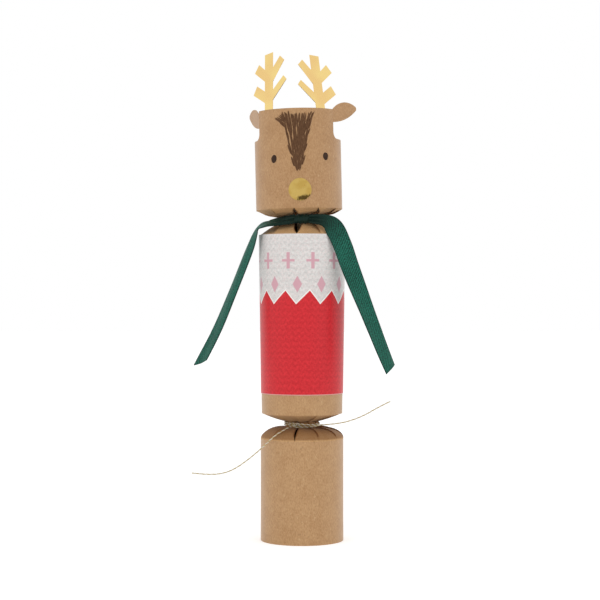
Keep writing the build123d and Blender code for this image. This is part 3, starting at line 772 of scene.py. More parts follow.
@dataclass(frozen=True)
class RibbonWeave(Finish):
    """Soft rayon ribbon in a fine twill, dyed dark green: a deep colour with a low silky sheen.

    The weave is read from the ribbon's own map, in millimetres across and along it. The real
    threads are finer; they are drawn 0.9 mm apart so that they show. Under the head, at the loop, the
    knot and the start of each tail, the ribbon is painted almost black as painted shade.
    """

    dark: str = "#08332A"
    light: str = "#216F5C"
    # Painted shade: the ribbon under the head is painted almost black, by its gather share
    painted_shade_green: str = "#0A1F19"
    under_head_shade_share: float = 0.95
    # Painted shade in a narrow band along both edges of the ribbon
    edge_shade_green: str = "#06261E"
    share_of_edge_shade: float = 0.8
    width_of_edge_shade: float = 0.7
    thread: float = 0.9
    twill_scale: float = 0.31
    twill_share: float = 0.25
    dye_size: float = 9.0
    dye_share: float = 0.2
    tone_limits: Pair = (0.54, 0.92)
    relief: float = 0.12

    def looks(self, tree: Wiring) -> dict[str, object]:
        """Weave the twill, dye it unevenly, and lay painted shade along its edges and where it carries a
        gather share.

        Args:
            tree: The material's nodes.

        Returns:
            Each of the shader's sockets with its constant or output.
        """
        place = tree.add(PLACE, output="Object")
        cloth = tree.add("ShaderNodeUVMap", uv_map="weave")
        threads = MAP_SPAN / self.thread
        scaled = tree.add(MAPPING, {0: cloth, "Scale": (threads, threads, 1)})
        unevenness = {"Distortion": 0.6, "Detail": 1.0, "Detail Scale": 2.0}
        bands = {"Vector": scaled, "Scale": self.twill_scale} | unevenness
        twill = tree.add("ShaderNodeTexWave", bands, output=1, bands_direction="DIAGONAL")
        slub = tree.add(NOISE, {"Vector": scaled, "Scale": 1.0, "Detail": 4.0})
        yarn = tree.add(MATH, (twill, self.twill_share, slub), operation="MULTIPLY_ADD")
        dye = tree.add(NOISE, {"Vector": place, "Scale": per_mm(self.dye_size), "Detail": 3.0})
        dyed = tree.add(MATH, (dye, self.dye_share, yarn), operation="MULTIPLY_ADD")
        tone = tree.add(RANGE, (dyed, *self.tone_limits))
        woven = tree.add(MIX, {0: tone, FIRST: self.dark, SECOND: self.light}, MIXED, data_type="RGBA")
        edge = self.edge(tree, cloth)
        edged = tree.add(MIX, {0: edge, FIRST: woven, SECOND: self.edge_shade_green}, MIXED, data_type="RGBA")
        # Painted shade, by each corner's gather share
        gather = tree.add(ATTRIBUTE, output="Fac", attribute_name="gather")
        closed = tree.add(RANGE, (gather, 0.0, 1.0, 0.0, self.under_head_shade_share))
        colour = tree.add(MIX, {0: closed, FIRST: edged, SECOND: self.painted_shade_green}, MIXED, data_type="RGBA")
        return {
            "Base Color": colour,
            "Normal": tree.add(BUMP, {"Height": yarn, "Strength": 0.6, "Distance": self.relief * MM}),
            "Roughness": 0.62,
            "Specular IOR Level": 0.2,
            "Sheen Weight": 0.05,
            "Sheen Roughness": 0.4,
        }

    def edge(self, tree: Wiring, cloth: Socket) -> Socket:
        """Painted shade in a narrow band along both edges of the ribbon.

        Args:
            tree: The material's nodes.
            cloth: The ribbon's own map.

        Returns:
            How much of the painted edge shade goes in.
        """
        half_width = RIBBON_WIDTH / (2 * MAP_SPAN)
        border_width = self.width_of_edge_shade / MAP_SPAN
        across = tree.add(SEPARATE, (cloth,))
        offset = tree.add(MATH, (across, half_width), operation="SUBTRACT")
        reach = tree.add(MATH, (offset,), operation="ABSOLUTE")
        return tree.add(RANGE, (reach, half_width - border_width, half_width, 0.0, self.share_of_edge_shade))


@dataclass(frozen=True)
class MetallicTwine(Finish):
    """Thread of gold lurex twisted with pale cotton: bright glints between soft cream plies."""

    gold: str = "#C2B288"
    cotton: str = "#DCD8CE"
    cotton_above: float = 1.5
    glint: float = 0.5
    glint_limits: Pair = (0.35, 0.65)
    gloss: Pair = (0.2, 0.55)

    def looks(self, tree: Wiring) -> dict[str, object]:
        """Make the last ply cotton and the others metal, by the number of the ply.

        Args:
            tree: The material's nodes.

        Returns:
            Each of the shader's sockets with its constant or output.
        """
        place = tree.add(PLACE, output="Object")
        glint = tree.add(NOISE, {"Vector": place, "Scale": per_mm(self.glint), "Detail": 2.0})
        ply = tree.add(ATTRIBUTE, output="Fac", attribute_name="ply")
        is_cotton = tree.add(MATH, (ply, self.cotton_above), operation="GREATER_THAN")
        plies = {0: is_cotton, FIRST: self.gold, SECOND: self.cotton}
        return {
            "Base Color": tree.add(MIX, plies, MIXED, data_type="RGBA"),
            "Metallic": tree.add(RANGE, (is_cotton, 0.0, 1.0, 1.0, 0.0)),
            "Roughness": tree.add(RANGE, (glint, *self.glint_limits, *self.gloss)),
        }


@dataclass(frozen=True)
class PrintInk(Finish):
    """Flat brown printing ink that has sunk into the kraft: matt, with the fibres showing through."""

    colour: str = "#543823"
    thin: str = "#6B4C33"
    fibre_width: float = 0.6
    fibre_stretch: float = 0.3
    tone_limits: Pair = (0.4, 0.7)

    def looks(self, tree: Wiring) -> dict[str, object]:
        """Thin the ink along the fibres.

        Args:
            tree: The material's nodes.

        Returns:
            Each of the shader's sockets with its constant or output.
        """
        place = tree.add(PLACE, output="Object")
        drawn = tree.add(MAPPING, {0: place, "Scale": (1, 1, self.fibre_stretch)})
        fibre = tree.add(NOISE, {"Vector": drawn, "Scale": per_mm(self.fibre_width), "Detail": 4.0})
        tone = tree.add(RANGE, (fibre, *self.tone_limits))
        sunk = tree.add(MIX, {0: tone, FIRST: self.colour, SECOND: self.thin}, MIXED, data_type="RGBA")
        return {
            "Base Color": sunk,
            "Roughness": 0.7,
            "Specular IOR Level": 0.2,
        }


@dataclass(frozen=True)
class TurnedBeech(Finish):
    """Beech turned on a lathe and left bare: pale, with short flecks along the grain."""

    pale: str = "#DDBF93"
    grain: str = "#C39C6A"
    grain_width: float = 0.8
    grain_stretch: float = 0.12
    tone_limits: Pair = (0.35, 0.7)

    def looks(self, tree: Wiring) -> dict[str, object]:
        """Draw the grain up the peg.

        Args:
            tree: The material's nodes.

        Returns:
            Each of the shader's sockets with its constant or output.
        """
        place = tree.add(PLACE, output="Object")
        drawn = tree.add(MAPPING, {0: place, "Scale": (1, 1, self.grain_stretch)})
        figure = tree.add(NOISE, {"Vector": drawn, "Scale": per_mm(self.grain_width), "Detail": 4.0})
        tone = tree.add(RANGE, (figure, *self.tone_limits))
        wood = tree.add(MIX, {0: tone, FIRST: self.grain, SECOND: self.pale}, MIXED, data_type="RGBA")
        return {
            "Base Color": wood,
            "Roughness": 0.5,
        }


@dataclass(frozen=True)
class StudioFloor(Finish):
    """Matt white paper sweep: it takes the object's shadow, and is white where nothing shades it.

    Its white isn't lifted inside the foot tube, which stays dark when seen through a slit.
    """

    paper: str = "#EDEDED"
    white: str = "#FFFFFF"
    lift: float = 0.4
    under_foot: float = 23.5

    def looks(self, tree: Wiring) -> dict[str, object]:
        """Lift the white a little for the camera and in reflections, outside the foot.

        Args:
            tree: The material's nodes.

        Returns:
            Each of the shader's sockets with its constant or output.
        """
        rays = tree.add(RAYS).node.outputs
        seen = tree.add(MATH, (rays["Is Camera Ray"], rays["Is Glossy Ray"]), operation="MAXIMUM")
        place = tree.add(PLACE, output="Object")
        reach = tree.add(VECTOR_MATH, (place,), output="Value", operation="LENGTH")
        open_floor = tree.add(MATH, (reach, self.under_foot * MM), operation="GREATER_THAN")
        lifted = tree.add(MATH, (seen, self.lift), operation="MULTIPLY")
        return {
            "Base Color": self.paper,
            "Roughness": 0.95,
            "Specular IOR Level": 0.0,
            "Emission Color": self.white,
            "Emission Strength": tree.add(MATH, (lifted, open_floor), operation="MULTIPLY"),
        }


KRAFT = KraftCard("kraft card")
# The head's card is the same kraft painted darker: painted shade for the weaker light toward the top
SHADED_HEAD_KRAFT = KraftCard("darker kraft card", dark="#A2774A", light="#BC9367")
# The petals' card: the same kraft, painted lighter as painted light on the cones, and less glossy. The
# petals' painted shade lies on top of it.
PAINTED_PETAL_CARD = KraftCard(
    "creased kraft card", dark="#B88B59", light="#D1A97A", gloss=(0.55, 0.75), ior=1.3, sheen=0.05
)
LINER = PlainPaper("grey liner board", colour="#9E8F7A", shade="#8A7B67")
SNAP = PlainPaper("snap strip card", colour="#B7A78D", shade="#A4947B")
TISSUE = PlainPaper("green tissue paper", colour="#2B7A62", shade="#1F6652", roughness=0.7)
BAND = PlainPaper("white band paper", colour="#ECE8E0", shade="#E0DBD1")
MOTTO = PlainPaper("cream motto paper", colour="#EFE8D6", shade="#E3DAC5")
JUMPER = JumperPrint("printed jumper paper")
MIRROR = GoldFilm("gold mirror card")
FOIL = GoldFilm(
    "stamped gold foil",
    gold="#C5A85F",
    deep="#BC9C52",
    tint_size=4.0,
    gloss=(0.25, 0.42),
    wave_size=1.6,
    wave_height=0.05,
    wear="#4A3A1E",
    wear_spot=(1.0, -26.0, 203.5),
    wear_reach=(4.6, 6.0, 1.7),
    wear_slope=16.0,
)
RIBBON = RibbonWeave("green rayon ribbon")
TWINE = MetallicTwine("gold lurex twine")
HAIR_INK = PrintInk("brown print ink")
EYE_INK = PrintInk("dark print ink", colour="#33231A", thin="#453124")
BEECH = TurnedBeech("turned beech")
SWEEP = StudioFloor("white paper sweep")


class Recipe(Wiring):
    """A Geometry Nodes tree that is built here, with named inputs for its sizes."""

    def __init__(self, name: str, sockets: dict[str, str]) -> None:
        """Begin a tree.

        Args:
            name: The tree's name.
            sockets: Each input's name and its kind: Int, Float or Vector.
        """
        super().__init__(bpy.data.node_groups.new(name, "GeometryNodeTree"))
        face = self.tree.interface
        face.new_socket("Geometry", in_out="INPUT", socket_type="NodeSocketGeometry")
        for title, kind in sockets.items():
            face.new_socket(title, in_out="INPUT", socket_type="NodeSocket" + kind)
        face.new_socket("Geometry", in_out="OUTPUT", socket_type="NodeSocketGeometry")
        self.given = self.tree.nodes.new("NodeGroupInput").outputs
        self.made = self.tree.nodes.new("NodeGroupOutput").inputs

    def close(self, geometry: Socket, finish: Finish) -> None:
        """End the tree in real geometry with its material.

        Args:
            geometry: The last step's geometry.
            finish: The finish of everything that the tree makes.
        """
        real = self.add(REALIZE, (geometry,))
        dressed = self.add("GeometryNodeSetMaterial", {0: real, "Material": finish.material()})
        self.feed(self.made[0], dressed)

    def bake(self, name: str, seed: bpy.types.Mesh, values: dict[str, object]) -> Piece:
        """Run the tree on a mesh and keep the result as a plain piece.

        Args:
            name: The piece's name.
            seed: The mesh that goes in.
            values: Each named input's value.

        Returns:
            The baked piece.
        """
        holder = link_piece(name + "_seed", seed)
        modifier = holder.modifiers.new("recipe", "NODES")
        modifier.node_group = self.tree
        for item in self.tree.interface.items_tree:
            if item.in_out == "INPUT" and item.name in values:
                modifier[item.identifier] = values[item.name]
        made = holder.evaluated_get(bpy.context.evaluated_depsgraph_get())
        mesh = bpy.data.meshes.new_from_object(made)
        bpy.data.objects.remove(holder)
        bpy.data.meshes.remove(seed)
        return link_piece(name, mesh)


def standing(lean: float, spot: Point) -> dict[str, object]:
    """The inputs that set a piece on its spot with a lean in degrees to the camera's left."""
    return {"Lean": (0.0, -math.radians(lean), 0.0), "Spot": metres(spot)}


@dataclass
class PetalRing:
    """Card petals that gather one end of a tube into its neck, each tucked under the next.

    The profile has the radius and height of each corner from the rim to the tear, and neck_corner is
    the number of the corner where the neck begins.
    """

    node: str
    body: Body
    gather: Gather
    profile: list[Pair]
    neck_corner: int
    slit_turn: float
    seed: int = 253
    lean: float = 0.0
    spot: Point = (0.0, 0.0, 0.0)
    count: int = 11
    card: float = 0.5
    slit_at_rim: float = 0.1
    overlap_at_neck: float = 1.0
    sway: float = 7.0
    edge_lift: float = 0.35
    tuck: float = 0.6
    sag: float = 0.8
    # Painted shade: how much toward the neck and from where, how much in a band along both edges, where that
    # band lies across the petal and where it starts along it, and how much over the inside
    petal_shade: float = 0.3
    neck_shade_start: float = 0.25
    petal_edge_shade: float = 0.85
    edge_band: Pair = (0.84, 0.96)
    edge_start: Pair = (0.05, 0.3)
    inner_shade: float = 0.9
    columns: int = 13
    longest_step: float = 0.9

    def rows(self) -> list[tuple[Vector, float]]:
        """Points down the middle of a petal.

        Returns:
            Each point's radius and height, and how far it is from the rim to the neck.
        """
        fine = []
        for index, (here, there) in enumerate(zip(self.profile[:-1], self.profile[1:])):
            here, there = Vector(here), Vector(there)
            steps = max(1, math.ceil((there - here).length / self.longest_step))
            fine += [(here.lerp(there, step / steps), index + step / steps) for step in range(steps)]
        fine.append((Vector(self.profile[-1]), float(len(self.profile) - 1)))
        return [(point, min(1.0, place / self.neck_corner)) for point, place in fine]

    def petal(self) -> bpy.types.Mesh:
        """One petal at the front, with how far each corner is along it kept for the sway, and each corner's
        share of painted shade.

        Returns:
            A closed plate.
        """
        rows = self.rows()
        outer, inner, along, petal_shade = [], [], [], []
        for index, (point, share) in enumerate(rows):
            before = rows[max(index - 1, 0)][0]
            after = rows[min(index + 1, len(rows) - 1)][0]
            way = (after - before).normalized()
            normal = Vector((way.y, -way.x)) * self.gather.value
            slit = self.slit_at_rim - (self.slit_at_rim + self.overlap_at_neck) * share
            half_turn = math.pi / self.count - slit / (2 * point.x)
            swell = math.sin(math.pi * share)
            for column in range(self.columns):
                side = 2 * column / (self.columns - 1) - 1
                under = (self.tuck * share + self.sag * swell) * (side + 1) / 2
                lift = swell * self.edge_lift * side * side - under
                turn = math.degrees(half_turn * side)
                for corners, depth in ((outer, lift), (inner, lift - self.card)):
                    spot = point + normal * depth
                    corners.append(outwards(turn) * spot.x + upwards(spot.y))
                along.append(share)
                # Painted shade: a band along both edges, for the shadow in the slits, and a rise toward the
                # neck, for the shade there
                at_edge = smooth_step(*self.edge_band, abs(side)) * smooth_step(*self.edge_start, share)
                at_neck = smooth_step(0.0, self.neck_shade_start, share)
                petal_shade.append(max(self.petal_edge_shade * at_edge, self.petal_shade * at_neck))
        mesh = mesh_from(self.node, outer + inner, shell_faces(len(rows), self.columns))
        mark_corners(mesh, "along", along + along)
        # The inside of the petal gets painted shade all over
        mark_corners(mesh, "petal_shade", petal_shade + [self.inner_shade] * len(inner))
        return mesh

    def recipe(self) -> Recipe:
        """The tree that sets the petals round the neck and sways each one a little.

        Returns:
            The finished tree.
        """
        sockets = {"Petals": "Int", "First Turn": "Float", "Sway": "Float", "Seed": "Int"}
        tree = Recipe("petals round a neck", sockets | {"Lean": "Vector", "Spot": "Vector"})
        given = tree.given
        points = tree.add("GeometryNodePoints", {"Count": given["Petals"]})
        index = tree.add("GeometryNodeInputIndex")
        step = tree.add(MATH, (2 * math.pi, given["Petals"]), operation="DIVIDE")
        turn = tree.add(MATH, (index, step, given["First Turn"]), operation="MULTIPLY_ADD")
        rotation = tree.add(ROTATION, (tree.add(COMBINE, {2: turn}),))
        copies = {"Points": points, "Instance": given["Geometry"], "Rotation": rotation}
        ring = tree.add(ON_POINTS, copies)
        least = tree.add(MATH, (given["Sway"], -1.0), operation="MULTIPLY")
        limits = {2: least, 3: given["Sway"], "Seed": given["Seed"]}
        drawn = tree.add("FunctionNodeRandomValue", limits, output=1, data_type="FLOAT")
        kept = {"Geometry": ring, "Name": "sway", "Value": drawn}
        marked = tree.add(KEEP, kept, data_type="FLOAT", domain="INSTANCE")
        real = tree.add(REALIZE, (marked,))
        sway = tree.add(NAMED, {"Name": "sway"}, data_type="FLOAT")
        along = tree.add(NAMED, {"Name": "along"}, data_type="FLOAT")
        angle = tree.add(MATH, (sway, along), operation="MULTIPLY")
        swing = {"Vector": tree.add(POSITION), "Angle": angle}
        swung = tree.add("ShaderNodeVectorRotate", swing, rotation_type="Z_AXIS")
        swayed = tree.add(SET_POSITION, {0: real, "Position": swung})
        stood = tree.add(TRANSFORM, {0: swayed, "Translation": given["Spot"], "Rotation": given["Lean"]})
        tree.close(stood, PAINTED_PETAL_CARD)
        return tree

    def build(self) -> Piece:
        """Make the ring and let it stand for its CAD node.

        Returns:
            The piece.
        """
        sizes = {
            "Petals": self.count,
            "First Turn": math.radians(self.slit_turn + 180 / self.count),
            "Sway": math.radians(self.sway),
            "Seed": self.seed,
        }
        values = sizes | standing(self.lean, self.spot)
        piece = self.recipe().bake(self.node + "_petals", self.petal(), values)
        return settle(piece, self.body, Slot.KRAFT, self.node)


@dataclass
class Head:
    """The leaning head: where its wall is, and what is printed on it.

    Heights start at the neck's tear, and ways are measured round the wall from its front.
    """

    radius: float = 25.8
    shift: float = -1.55
    tear_height: float = 192.7
    tilt: float = 1.3
    film: float = 0.03
    first_lift: float = 0.01
    next_lift: float = 0.0012
    dot_corners: int = 12
    weld: float = 1e-7
    hair_seed: int = 11
    # Height on the head, and the forelock's left and right edge there.
    hair_outline: list[Point] = field(
        default_factory=lambda: [
            (26.2, -1.0, 0.8), (27.2, -1.7, 1.3), (33.1, -3.1, 2.8), (39.7, -4.6, 4.2),
            (46.4, -6.2, 5.5), (53.1, -7.4, 7.3), (57.7, -8.8, 8.6), (61.2, -9.2, 9.4),
        ]
    )
    hair_row: float = 3.1
    hair_spacing: float = 1.1
    hair_length: Pair = (6.5, 10.5)
    hair_width: Pair = (0.75, 1.2)
    hair_place: Pair = (0.2, 0.8)
    hair_shift: Pair = (-1.0, 1.0)
    hair_end: Pair = (-2.2, 0.6)
    hair_stray: Pair = (-0.04, 0.04)
    # Way and height of a stroke's start, then of its end.
    stray_hairs: list[tuple[float, float, float, float]] = field(
        default_factory=lambda: [
            (-6.6, 53.0, -13.9, 57.7), (-6.4, 54.4, -12.3, 58.3), (-6.0, 55.4, -10.6, 59.6),
            (-6.8, 52.6, -12.6, 56.9), (-7.0, 53.7, -13.4, 58.1), (-6.2, 54.9, -11.4, 59.0),
            (-6.6, 56.2, -9.6, 60.2), (-6.8, 51.6, -10.8, 55.2), (6.2, 53.6, 10.4, 61.2),
            (5.0, 54.8, 8.8, 61.3), (3.2, 36.8, 5.6, 42.4), (2.2, 29.6, 4.2, 35.6),
            (5.0, 46.0, 7.6, 51.4), (-4.0, 36.0, -6.0, 42.0), (-2.4, 29.0, -4.0, 34.8),
        ]
    )
    # Turn, height, tilt, width and length of each dot; two dots make an eye.
    eyes: list[tuple[float, float, float, float, float]] = field(
        default_factory=lambda: [
            (-33.3, 34.0, -12.0, 3.7, 4.9), (-33.6, 33.8, 40.0, 3.4, 4.0),
            (38.6, 35.0, 10.0, 3.7, 4.7), (38.9, 35.2, -50.0, 3.5, 4.0),
        ]
    )

    @property
    def spot(self) -> Point:
        """The middle of the neck's tear, where heights on the head start."""
        return self.shift, 0.0, self.tear_height

    def recipe(self, finish: Finish) -> Recipe:
        """The tree that lays flat marks of ink on the head's round wall.

        Args:
            finish: The ink.

        Returns:
            The finished tree.
        """
        sockets = {"Wall Radius": "Float", "Film": "Float", "Lean": "Vector", "Spot": "Vector"}
        tree = Recipe("ink marks on a round wall", sockets)
        given = tree.given
        circle = {"Vertices": self.dot_corners, "Radius": 0.5}
        disc = tree.add("GeometryNodeMeshCircle", circle, fill_type="TRIANGLE_FAN")
        dot = tree.add("GeometryNodeSubdivideMesh", {0: disc, 1: 1})
        rise = {0: dot, "Offset Scale": given["Film"], "Individual": False}
        raised = tree.add("GeometryNodeExtrudeMesh", rise, mode="FACES")
        under = tree.add("GeometryNodeFlipFaces", {0: dot})
        joined = tree.add("GeometryNodeJoinGeometry", {0: raised})
        tree.feed(joined.node.inputs[0], under)
        mark = tree.add("GeometryNodeMergeByDistance", {0: joined, "Distance": self.weld})
        width = tree.add(NAMED, {"Name": "width"}, data_type="FLOAT")
        length = tree.add(NAMED, {"Name": "length"}, data_type="FLOAT")
        tilt = tree.add(NAMED, {"Name": "tilt"}, data_type="FLOAT")
        rotation = tree.add(ROTATION, (tree.add(COMBINE, {2: tilt}),))
        size = tree.add(COMBINE, (width, length, 1.0))
        copies = {"Points": given["Geometry"], "Instance": mark, "Rotation": rotation, "Scale": size}
        real = tree.add(REALIZE, (tree.add(ON_POINTS, copies),))
        way, height, lift = tree.add(SEPARATE, (tree.add(POSITION),)).node.outputs
        turn = tree.add(MATH, (way, given["Wall Radius"]), operation="DIVIDE")
        reach = tree.add(MATH, (lift, given["Wall Radius"]), operation="ADD")
        sine = tree.add(MATH, (turn,), operation="SINE")
        cosine = tree.add(MATH, (turn,), operation="COSINE")
        side = tree.add(MATH, (sine, reach), operation="MULTIPLY")
        depth = tree.add(MATH, (cosine, reach), operation="MULTIPLY")
        back = tree.add(MATH, (depth, -1.0), operation="MULTIPLY")
        round_place = tree.add(COMBINE, (side, back, height))
        wrapped = tree.add(SET_POSITION, {0: real, "Position": round_place})
        stood = tree.add(TRANSFORM, {0: wrapped, "Translation": given["Spot"], "Rotation": given["Lean"]})
        tree.close(stood, finish)
        return tree

    def print_marks(self, name: str, marks: list[tuple[float, ...]], finish: Finish) -> Piece:
        """Lay ink on the wall.

        Args:
            name: The piece's name.
            marks: Each mark's way round the wall, height, tilt in degrees, width and length.
            finish: The ink.

        Returns:
            The piece.
        """
        ways, heights, tilts, widths, lengths = zip(*marks)
        lifts = [self.first_lift + self.next_lift * index for index in range(len(marks))]
        mesh = mesh_from(name, list(zip(ways, heights, lifts)), [])
        mark_corners(mesh, "tilt", [math.radians(tilt) for tilt in tilts])
        mark_corners(mesh, "width", metres(widths))
        mark_corners(mesh, "length", metres(lengths))
        sizes = {"Wall Radius": self.radius * MM, "Film": self.film * MM}
        piece = self.recipe(finish).bake(name, mesh, sizes | standing(self.tilt, self.spot))
        return settle(piece, Body.HEAD)

    def forelock(self) -> Piece:
        """Short brush strokes that fan up from a point between the eyes.

        Returns:
            The piece.
        """
        draw = random.Random(self.hair_seed)
        strokes = list(self.stray_hairs)
        low, high = self.hair_outline[0][0], self.hair_outline[-1][0]
        height = low
        while height < high - self.hair_length[0]:
            left, right = self.hair_edges(height + self.hair_length[0] / 2)
            count = max(2, round((right - left) / self.hair_spacing))
            for index in range(count):
                side = (index + draw.uniform(*self.hair_place)) / count
                bottom = height + draw.uniform(*self.hair_shift)
                top = min(bottom + draw.uniform(*self.hair_length), high + draw.uniform(*self.hair_end))
                ends = []
                for level in (max(bottom, low), top):
                    left, right = self.hair_edges(level)
                    share = min(1.0, max(0.0, side + draw.uniform(*self.hair_stray)))
                    ends += [left + (right - left) * share, level]
                strokes.append(tuple(ends))
            height += self.hair_row
        marks = []
        for from_way, from_height, to_way, to_height in strokes:
            way = Vector((to_way - from_way, to_height - from_height))
            tilt = math.degrees(math.atan2(-way.x, way.y))
            middle = ((from_way + to_way) / 2, (from_height + to_height) / 2)
            marks.append((*middle, tilt, draw.uniform(*self.hair_width), way.length))
        return self.print_marks("forelock_print", marks, HAIR_INK)

    def hair_edges(self, height: float) -> Pair:
        """How far the forelock reaches to each side at a height.

        Args:
            height: Height on the head.

        Returns:
            The left and the right edge, measured round the wall from its front.
        """
        for low, high in zip(self.hair_outline[:-1], self.hair_outline[1:]):
            if height <= high[0]:
                share = max(0.0, (height - low[0]) / (high[0] - low[0]))
                return low[1] + (high[1] - low[1]) * share, low[2] + (high[2] - low[2]) * share
        return self.hair_outline[-1][1:]

    def face(self) -> Piece:
        """The two printed eyes.

        Returns:
            The piece.
        """
        marks = [(math.radians(turn) * self.radius, *rest) for turn, *rest in self.eyes]
        return self.print_marks("eye_print", marks, EYE_INK)


@dataclass
class GluedSeam:
    """The glued overlap down the back of a rolled tube, from a bottom to a top radius and height."""

    name: str
    body: Body
    slot: Slot
    finish: Finish
    bottom: Pair
    top: Pair
    lean: float = 0.0
    spot: Point = (0.0, 0.0, 0.0)
    turn: float = 180.0
    width: float = 11.0
    paper: float = 0.18
    bedding: float = 0.1
    columns: int = 9
    rows: int = 24

    def build(self) -> Piece:
        """Make the overlap's closed strip on the wall.

        Returns:
            The piece.
        """
        stand = Matrix.Translation(self.spot) @ Euler((0, -math.radians(self.lean), 0)).to_matrix().to_4x4()
        outer, inner = [], []
        for row in range(self.rows):
            share = row / (self.rows - 1)
            radius = self.bottom[0] + (self.top[0] - self.bottom[0]) * share
            height = self.bottom[1] + (self.top[1] - self.bottom[1]) * share
            for column in range(self.columns):
                side = column / (self.columns - 1) - 0.5
                turn = self.turn + math.degrees(side * self.width / radius)
                for corners, lift in ((outer, self.paper), (inner, -self.bedding)):
                    corners.append(stand @ (outwards(turn) * (radius + lift) + upwards(height)))
        faces = shell_faces(self.rows, self.columns)
        piece = link_piece(self.name, mesh_from(self.name, outer + inner, faces))
        self.finish.dress(piece)
        return settle(piece, self.body, self.slot)


def ribbon_piece(
    node: str,
    points: list[Vector],
    grid: tuple[int, int],
    spots: list[Pair],
    gather: list[float],
    thickness: float,
) -> Piece:
    """Make one length of the scarf's ribbon and let it stand for its CAD node.

    Args:
        node: The node.
        points: The ribbon's corners in millimetres, row by row.
        grid: How many rows and columns of corners there are.
        spots: Each corner's place across and along the flat ribbon, in millimetres.
        gather: How much painted shade each corner gets, from 0 to 1.
        thickness: The ribbon's thickness in millimetres.

    Returns:
        The piece.
    """
    mesh = mesh_from(node, points, grid_faces(*grid))
    layer = mesh.uv_layers.new(name="weave")
    for loop in mesh.loops:
        across, along = spots[loop.vertex_index]
        layer.data[loop.index].uv = (across / MAP_SPAN, along / MAP_SPAN)
    mark_corners(mesh, "gather", gather)
    piece = link_piece(node + "_ribbon", mesh)
    thicken(piece, thickness)
    RIBBON.dress(piece)
    return settle(piece, Body.BARREL, Slot.RIBBON, node)


@dataclass
class RibbonTail:
    """One free end of the scarf, from its knot over the shoulder and down beside the barrel.

    The spots are stations along its middle, and the acrosses point across the ribbon at each of them.
    """

    side: Side
    spots: list[Point]
    acrosses: list[Point]
    flat_length: float
    cut_slant: float
    # Millimetres along the tail over which the painted shade fades out
    tail_shade_fade: Pair
    widths: tuple[float, ...] = (4.8, 7.0) + (RIBBON_WIDTH,) * 6
    cup: float = 0.7
    cup_wave: Pair = (5.0, 0.4)
    ripple: float = 0.35
    ripple_wave: Pair = (9.0, 2.1)
    pinch: float = 0.45
    pleats: float = 2.5
    loosens: Pair = (0.05, 0.3)
    cut_start: float = 0.93
    look: float = 0.02
    thickness: float = 0.5
    rows: int = 90
    columns: int = 15

    def build(self) -> Piece:
        """Make the tail as one sheet that follows its stations.

        Returns:
            The piece.
        """
        spots = [Vector(spot) for spot in self.spots]
        acrosses = [Vector(across).normalized() for across in self.acrosses]
        sizes = [Vector((width, 0, 0)) for width in self.widths]
        last = len(spots) - 1
        points, flat_spots, gather = [], [], []
        travelled = 0.0
        previous = spots[0]
        for row in range(self.rows):
            share = row / (self.rows - 1)
            place = share * last
            middle = through(spots, place)
            ahead = through(spots, min(place + self.look, last))
            behind = through(spots, max(place - self.look, 0))
            way = (ahead - behind).normalized()
            across = through(acrosses, place)
            across = (across - way * across.dot(way)).normalized()
            normal = way.cross(across)
            half = through(sizes, place).x / 2
            travelled += (middle - previous).length
            previous = middle
            loose = smooth_step(*self.loosens, share)
            cupped = math.cos(self.cup_wave[0] * share + self.cup_wave[1])
            for column in range(self.columns):
                side = 2 * column / (self.columns - 1) - 1
                rippled = math.sin(self.ripple_wave[0] * share + self.ripple_wave[1] * side)
                bow = self.cup * loose * (1 - side * side) * cupped
                wave = self.ripple * loose * rippled * side
                pleat = (1 - loose) * self.pinch * math.cos(self.pleats * math.pi * side)
                slant = self.cut_slant * side * smooth_step(self.cut_start, 1.0, share)
                points.append(middle + across * (half * side) + normal * (bow + wave + pleat) + way * slant)
                flat_spots.append(((side + 1) * RIBBON_WIDTH / 2, travelled))
                # Painted shade: full by the knot, fading out along the tail
                gather.append(1 - smooth_step(*self.tail_shade_fade, travelled))
        node = f"scarf_{self.side.value}_tail"
        piece = ribbon_piece(node, points, (self.rows, self.columns), flat_spots, gather, self.thickness)
        return piece


@dataclass
class ScarfLoop:
    """The ribbon bunched in three folds round the upper neck.

    The fold has corners of the ribbon's cross-section, outwards and up from its middle. Each roll has a
    size, its waves round the neck and its lag from fold to fold.
    """

    middle_radius: float = 14.95
    height: float = SCARF_HEIGHT
    fold: list[Pair] = field(
        default_factory=lambda: [
            (-1.75, -1.15), (-1.85, 0.2), (-1.4, 1.15), (-0.7, 0.9), (-0.5, -0.1), (-0.3, -1.05),
            (0.35, -1.25), (0.75, -0.35), (0.8, 0.6), (1.15, 1.25), (1.75, 0.85), (2.0, -0.1), (1.6, -1.1),
        ]
    )
    squeeze: float = 0.94
    rolls: tuple[Point, ...] = ((0.16, 3, 5), (0.1, 7, 9))
    roll_depth: float = 0.6
    swell: float = 0.12
    swell_wave: Pair = (2, 1)
    fold_count: int = 37
    turns: int = 96
    thickness: float = 0.35
    flat: Pair = (RIBBON_WIDTH, 94.0)

    def build(self) -> Piece:
        """Make the gathered loop.

        Returns:
            The piece.
        """
        fold = [Vector((*corner, 0)) for corner in self.fold]
        last = len(fold) - 1
        points, flat_spots = [], []
        for turn_step in range(self.turns + 1):
            turn = 360 * turn_step / self.turns + 180
            angle = math.radians(turn)
            taller = 1 + self.swell * math.sin(self.swell_wave[0] * angle + self.swell_wave[1])
            for column in range(self.fold_count):
                share = column / (self.fold_count - 1)
                bend = through(fold, share * last)
                roll = 0.0
                for size, waves, lag in self.rolls:
                    roll += size * math.sin(waves * angle + lag * share)
                radius = self.middle_radius + bend.x * self.squeeze + roll * self.roll_depth
                points.append(outwards(turn) * radius + upwards(self.height + bend.y * taller + roll))
                flat_spots.append((share * self.flat[0], turn_step / self.turns * self.flat[1]))
        grid = (self.turns + 1, self.fold_count)
        # The whole loop gets the painted shade
        return ribbon_piece("scarf_loop", points, grid, flat_spots, [1.0] * len(points), self.thickness)

    def declare(self, loop: Piece, knot: Piece) -> None:
        """Take the loop and the knot, and do nothing with them."""


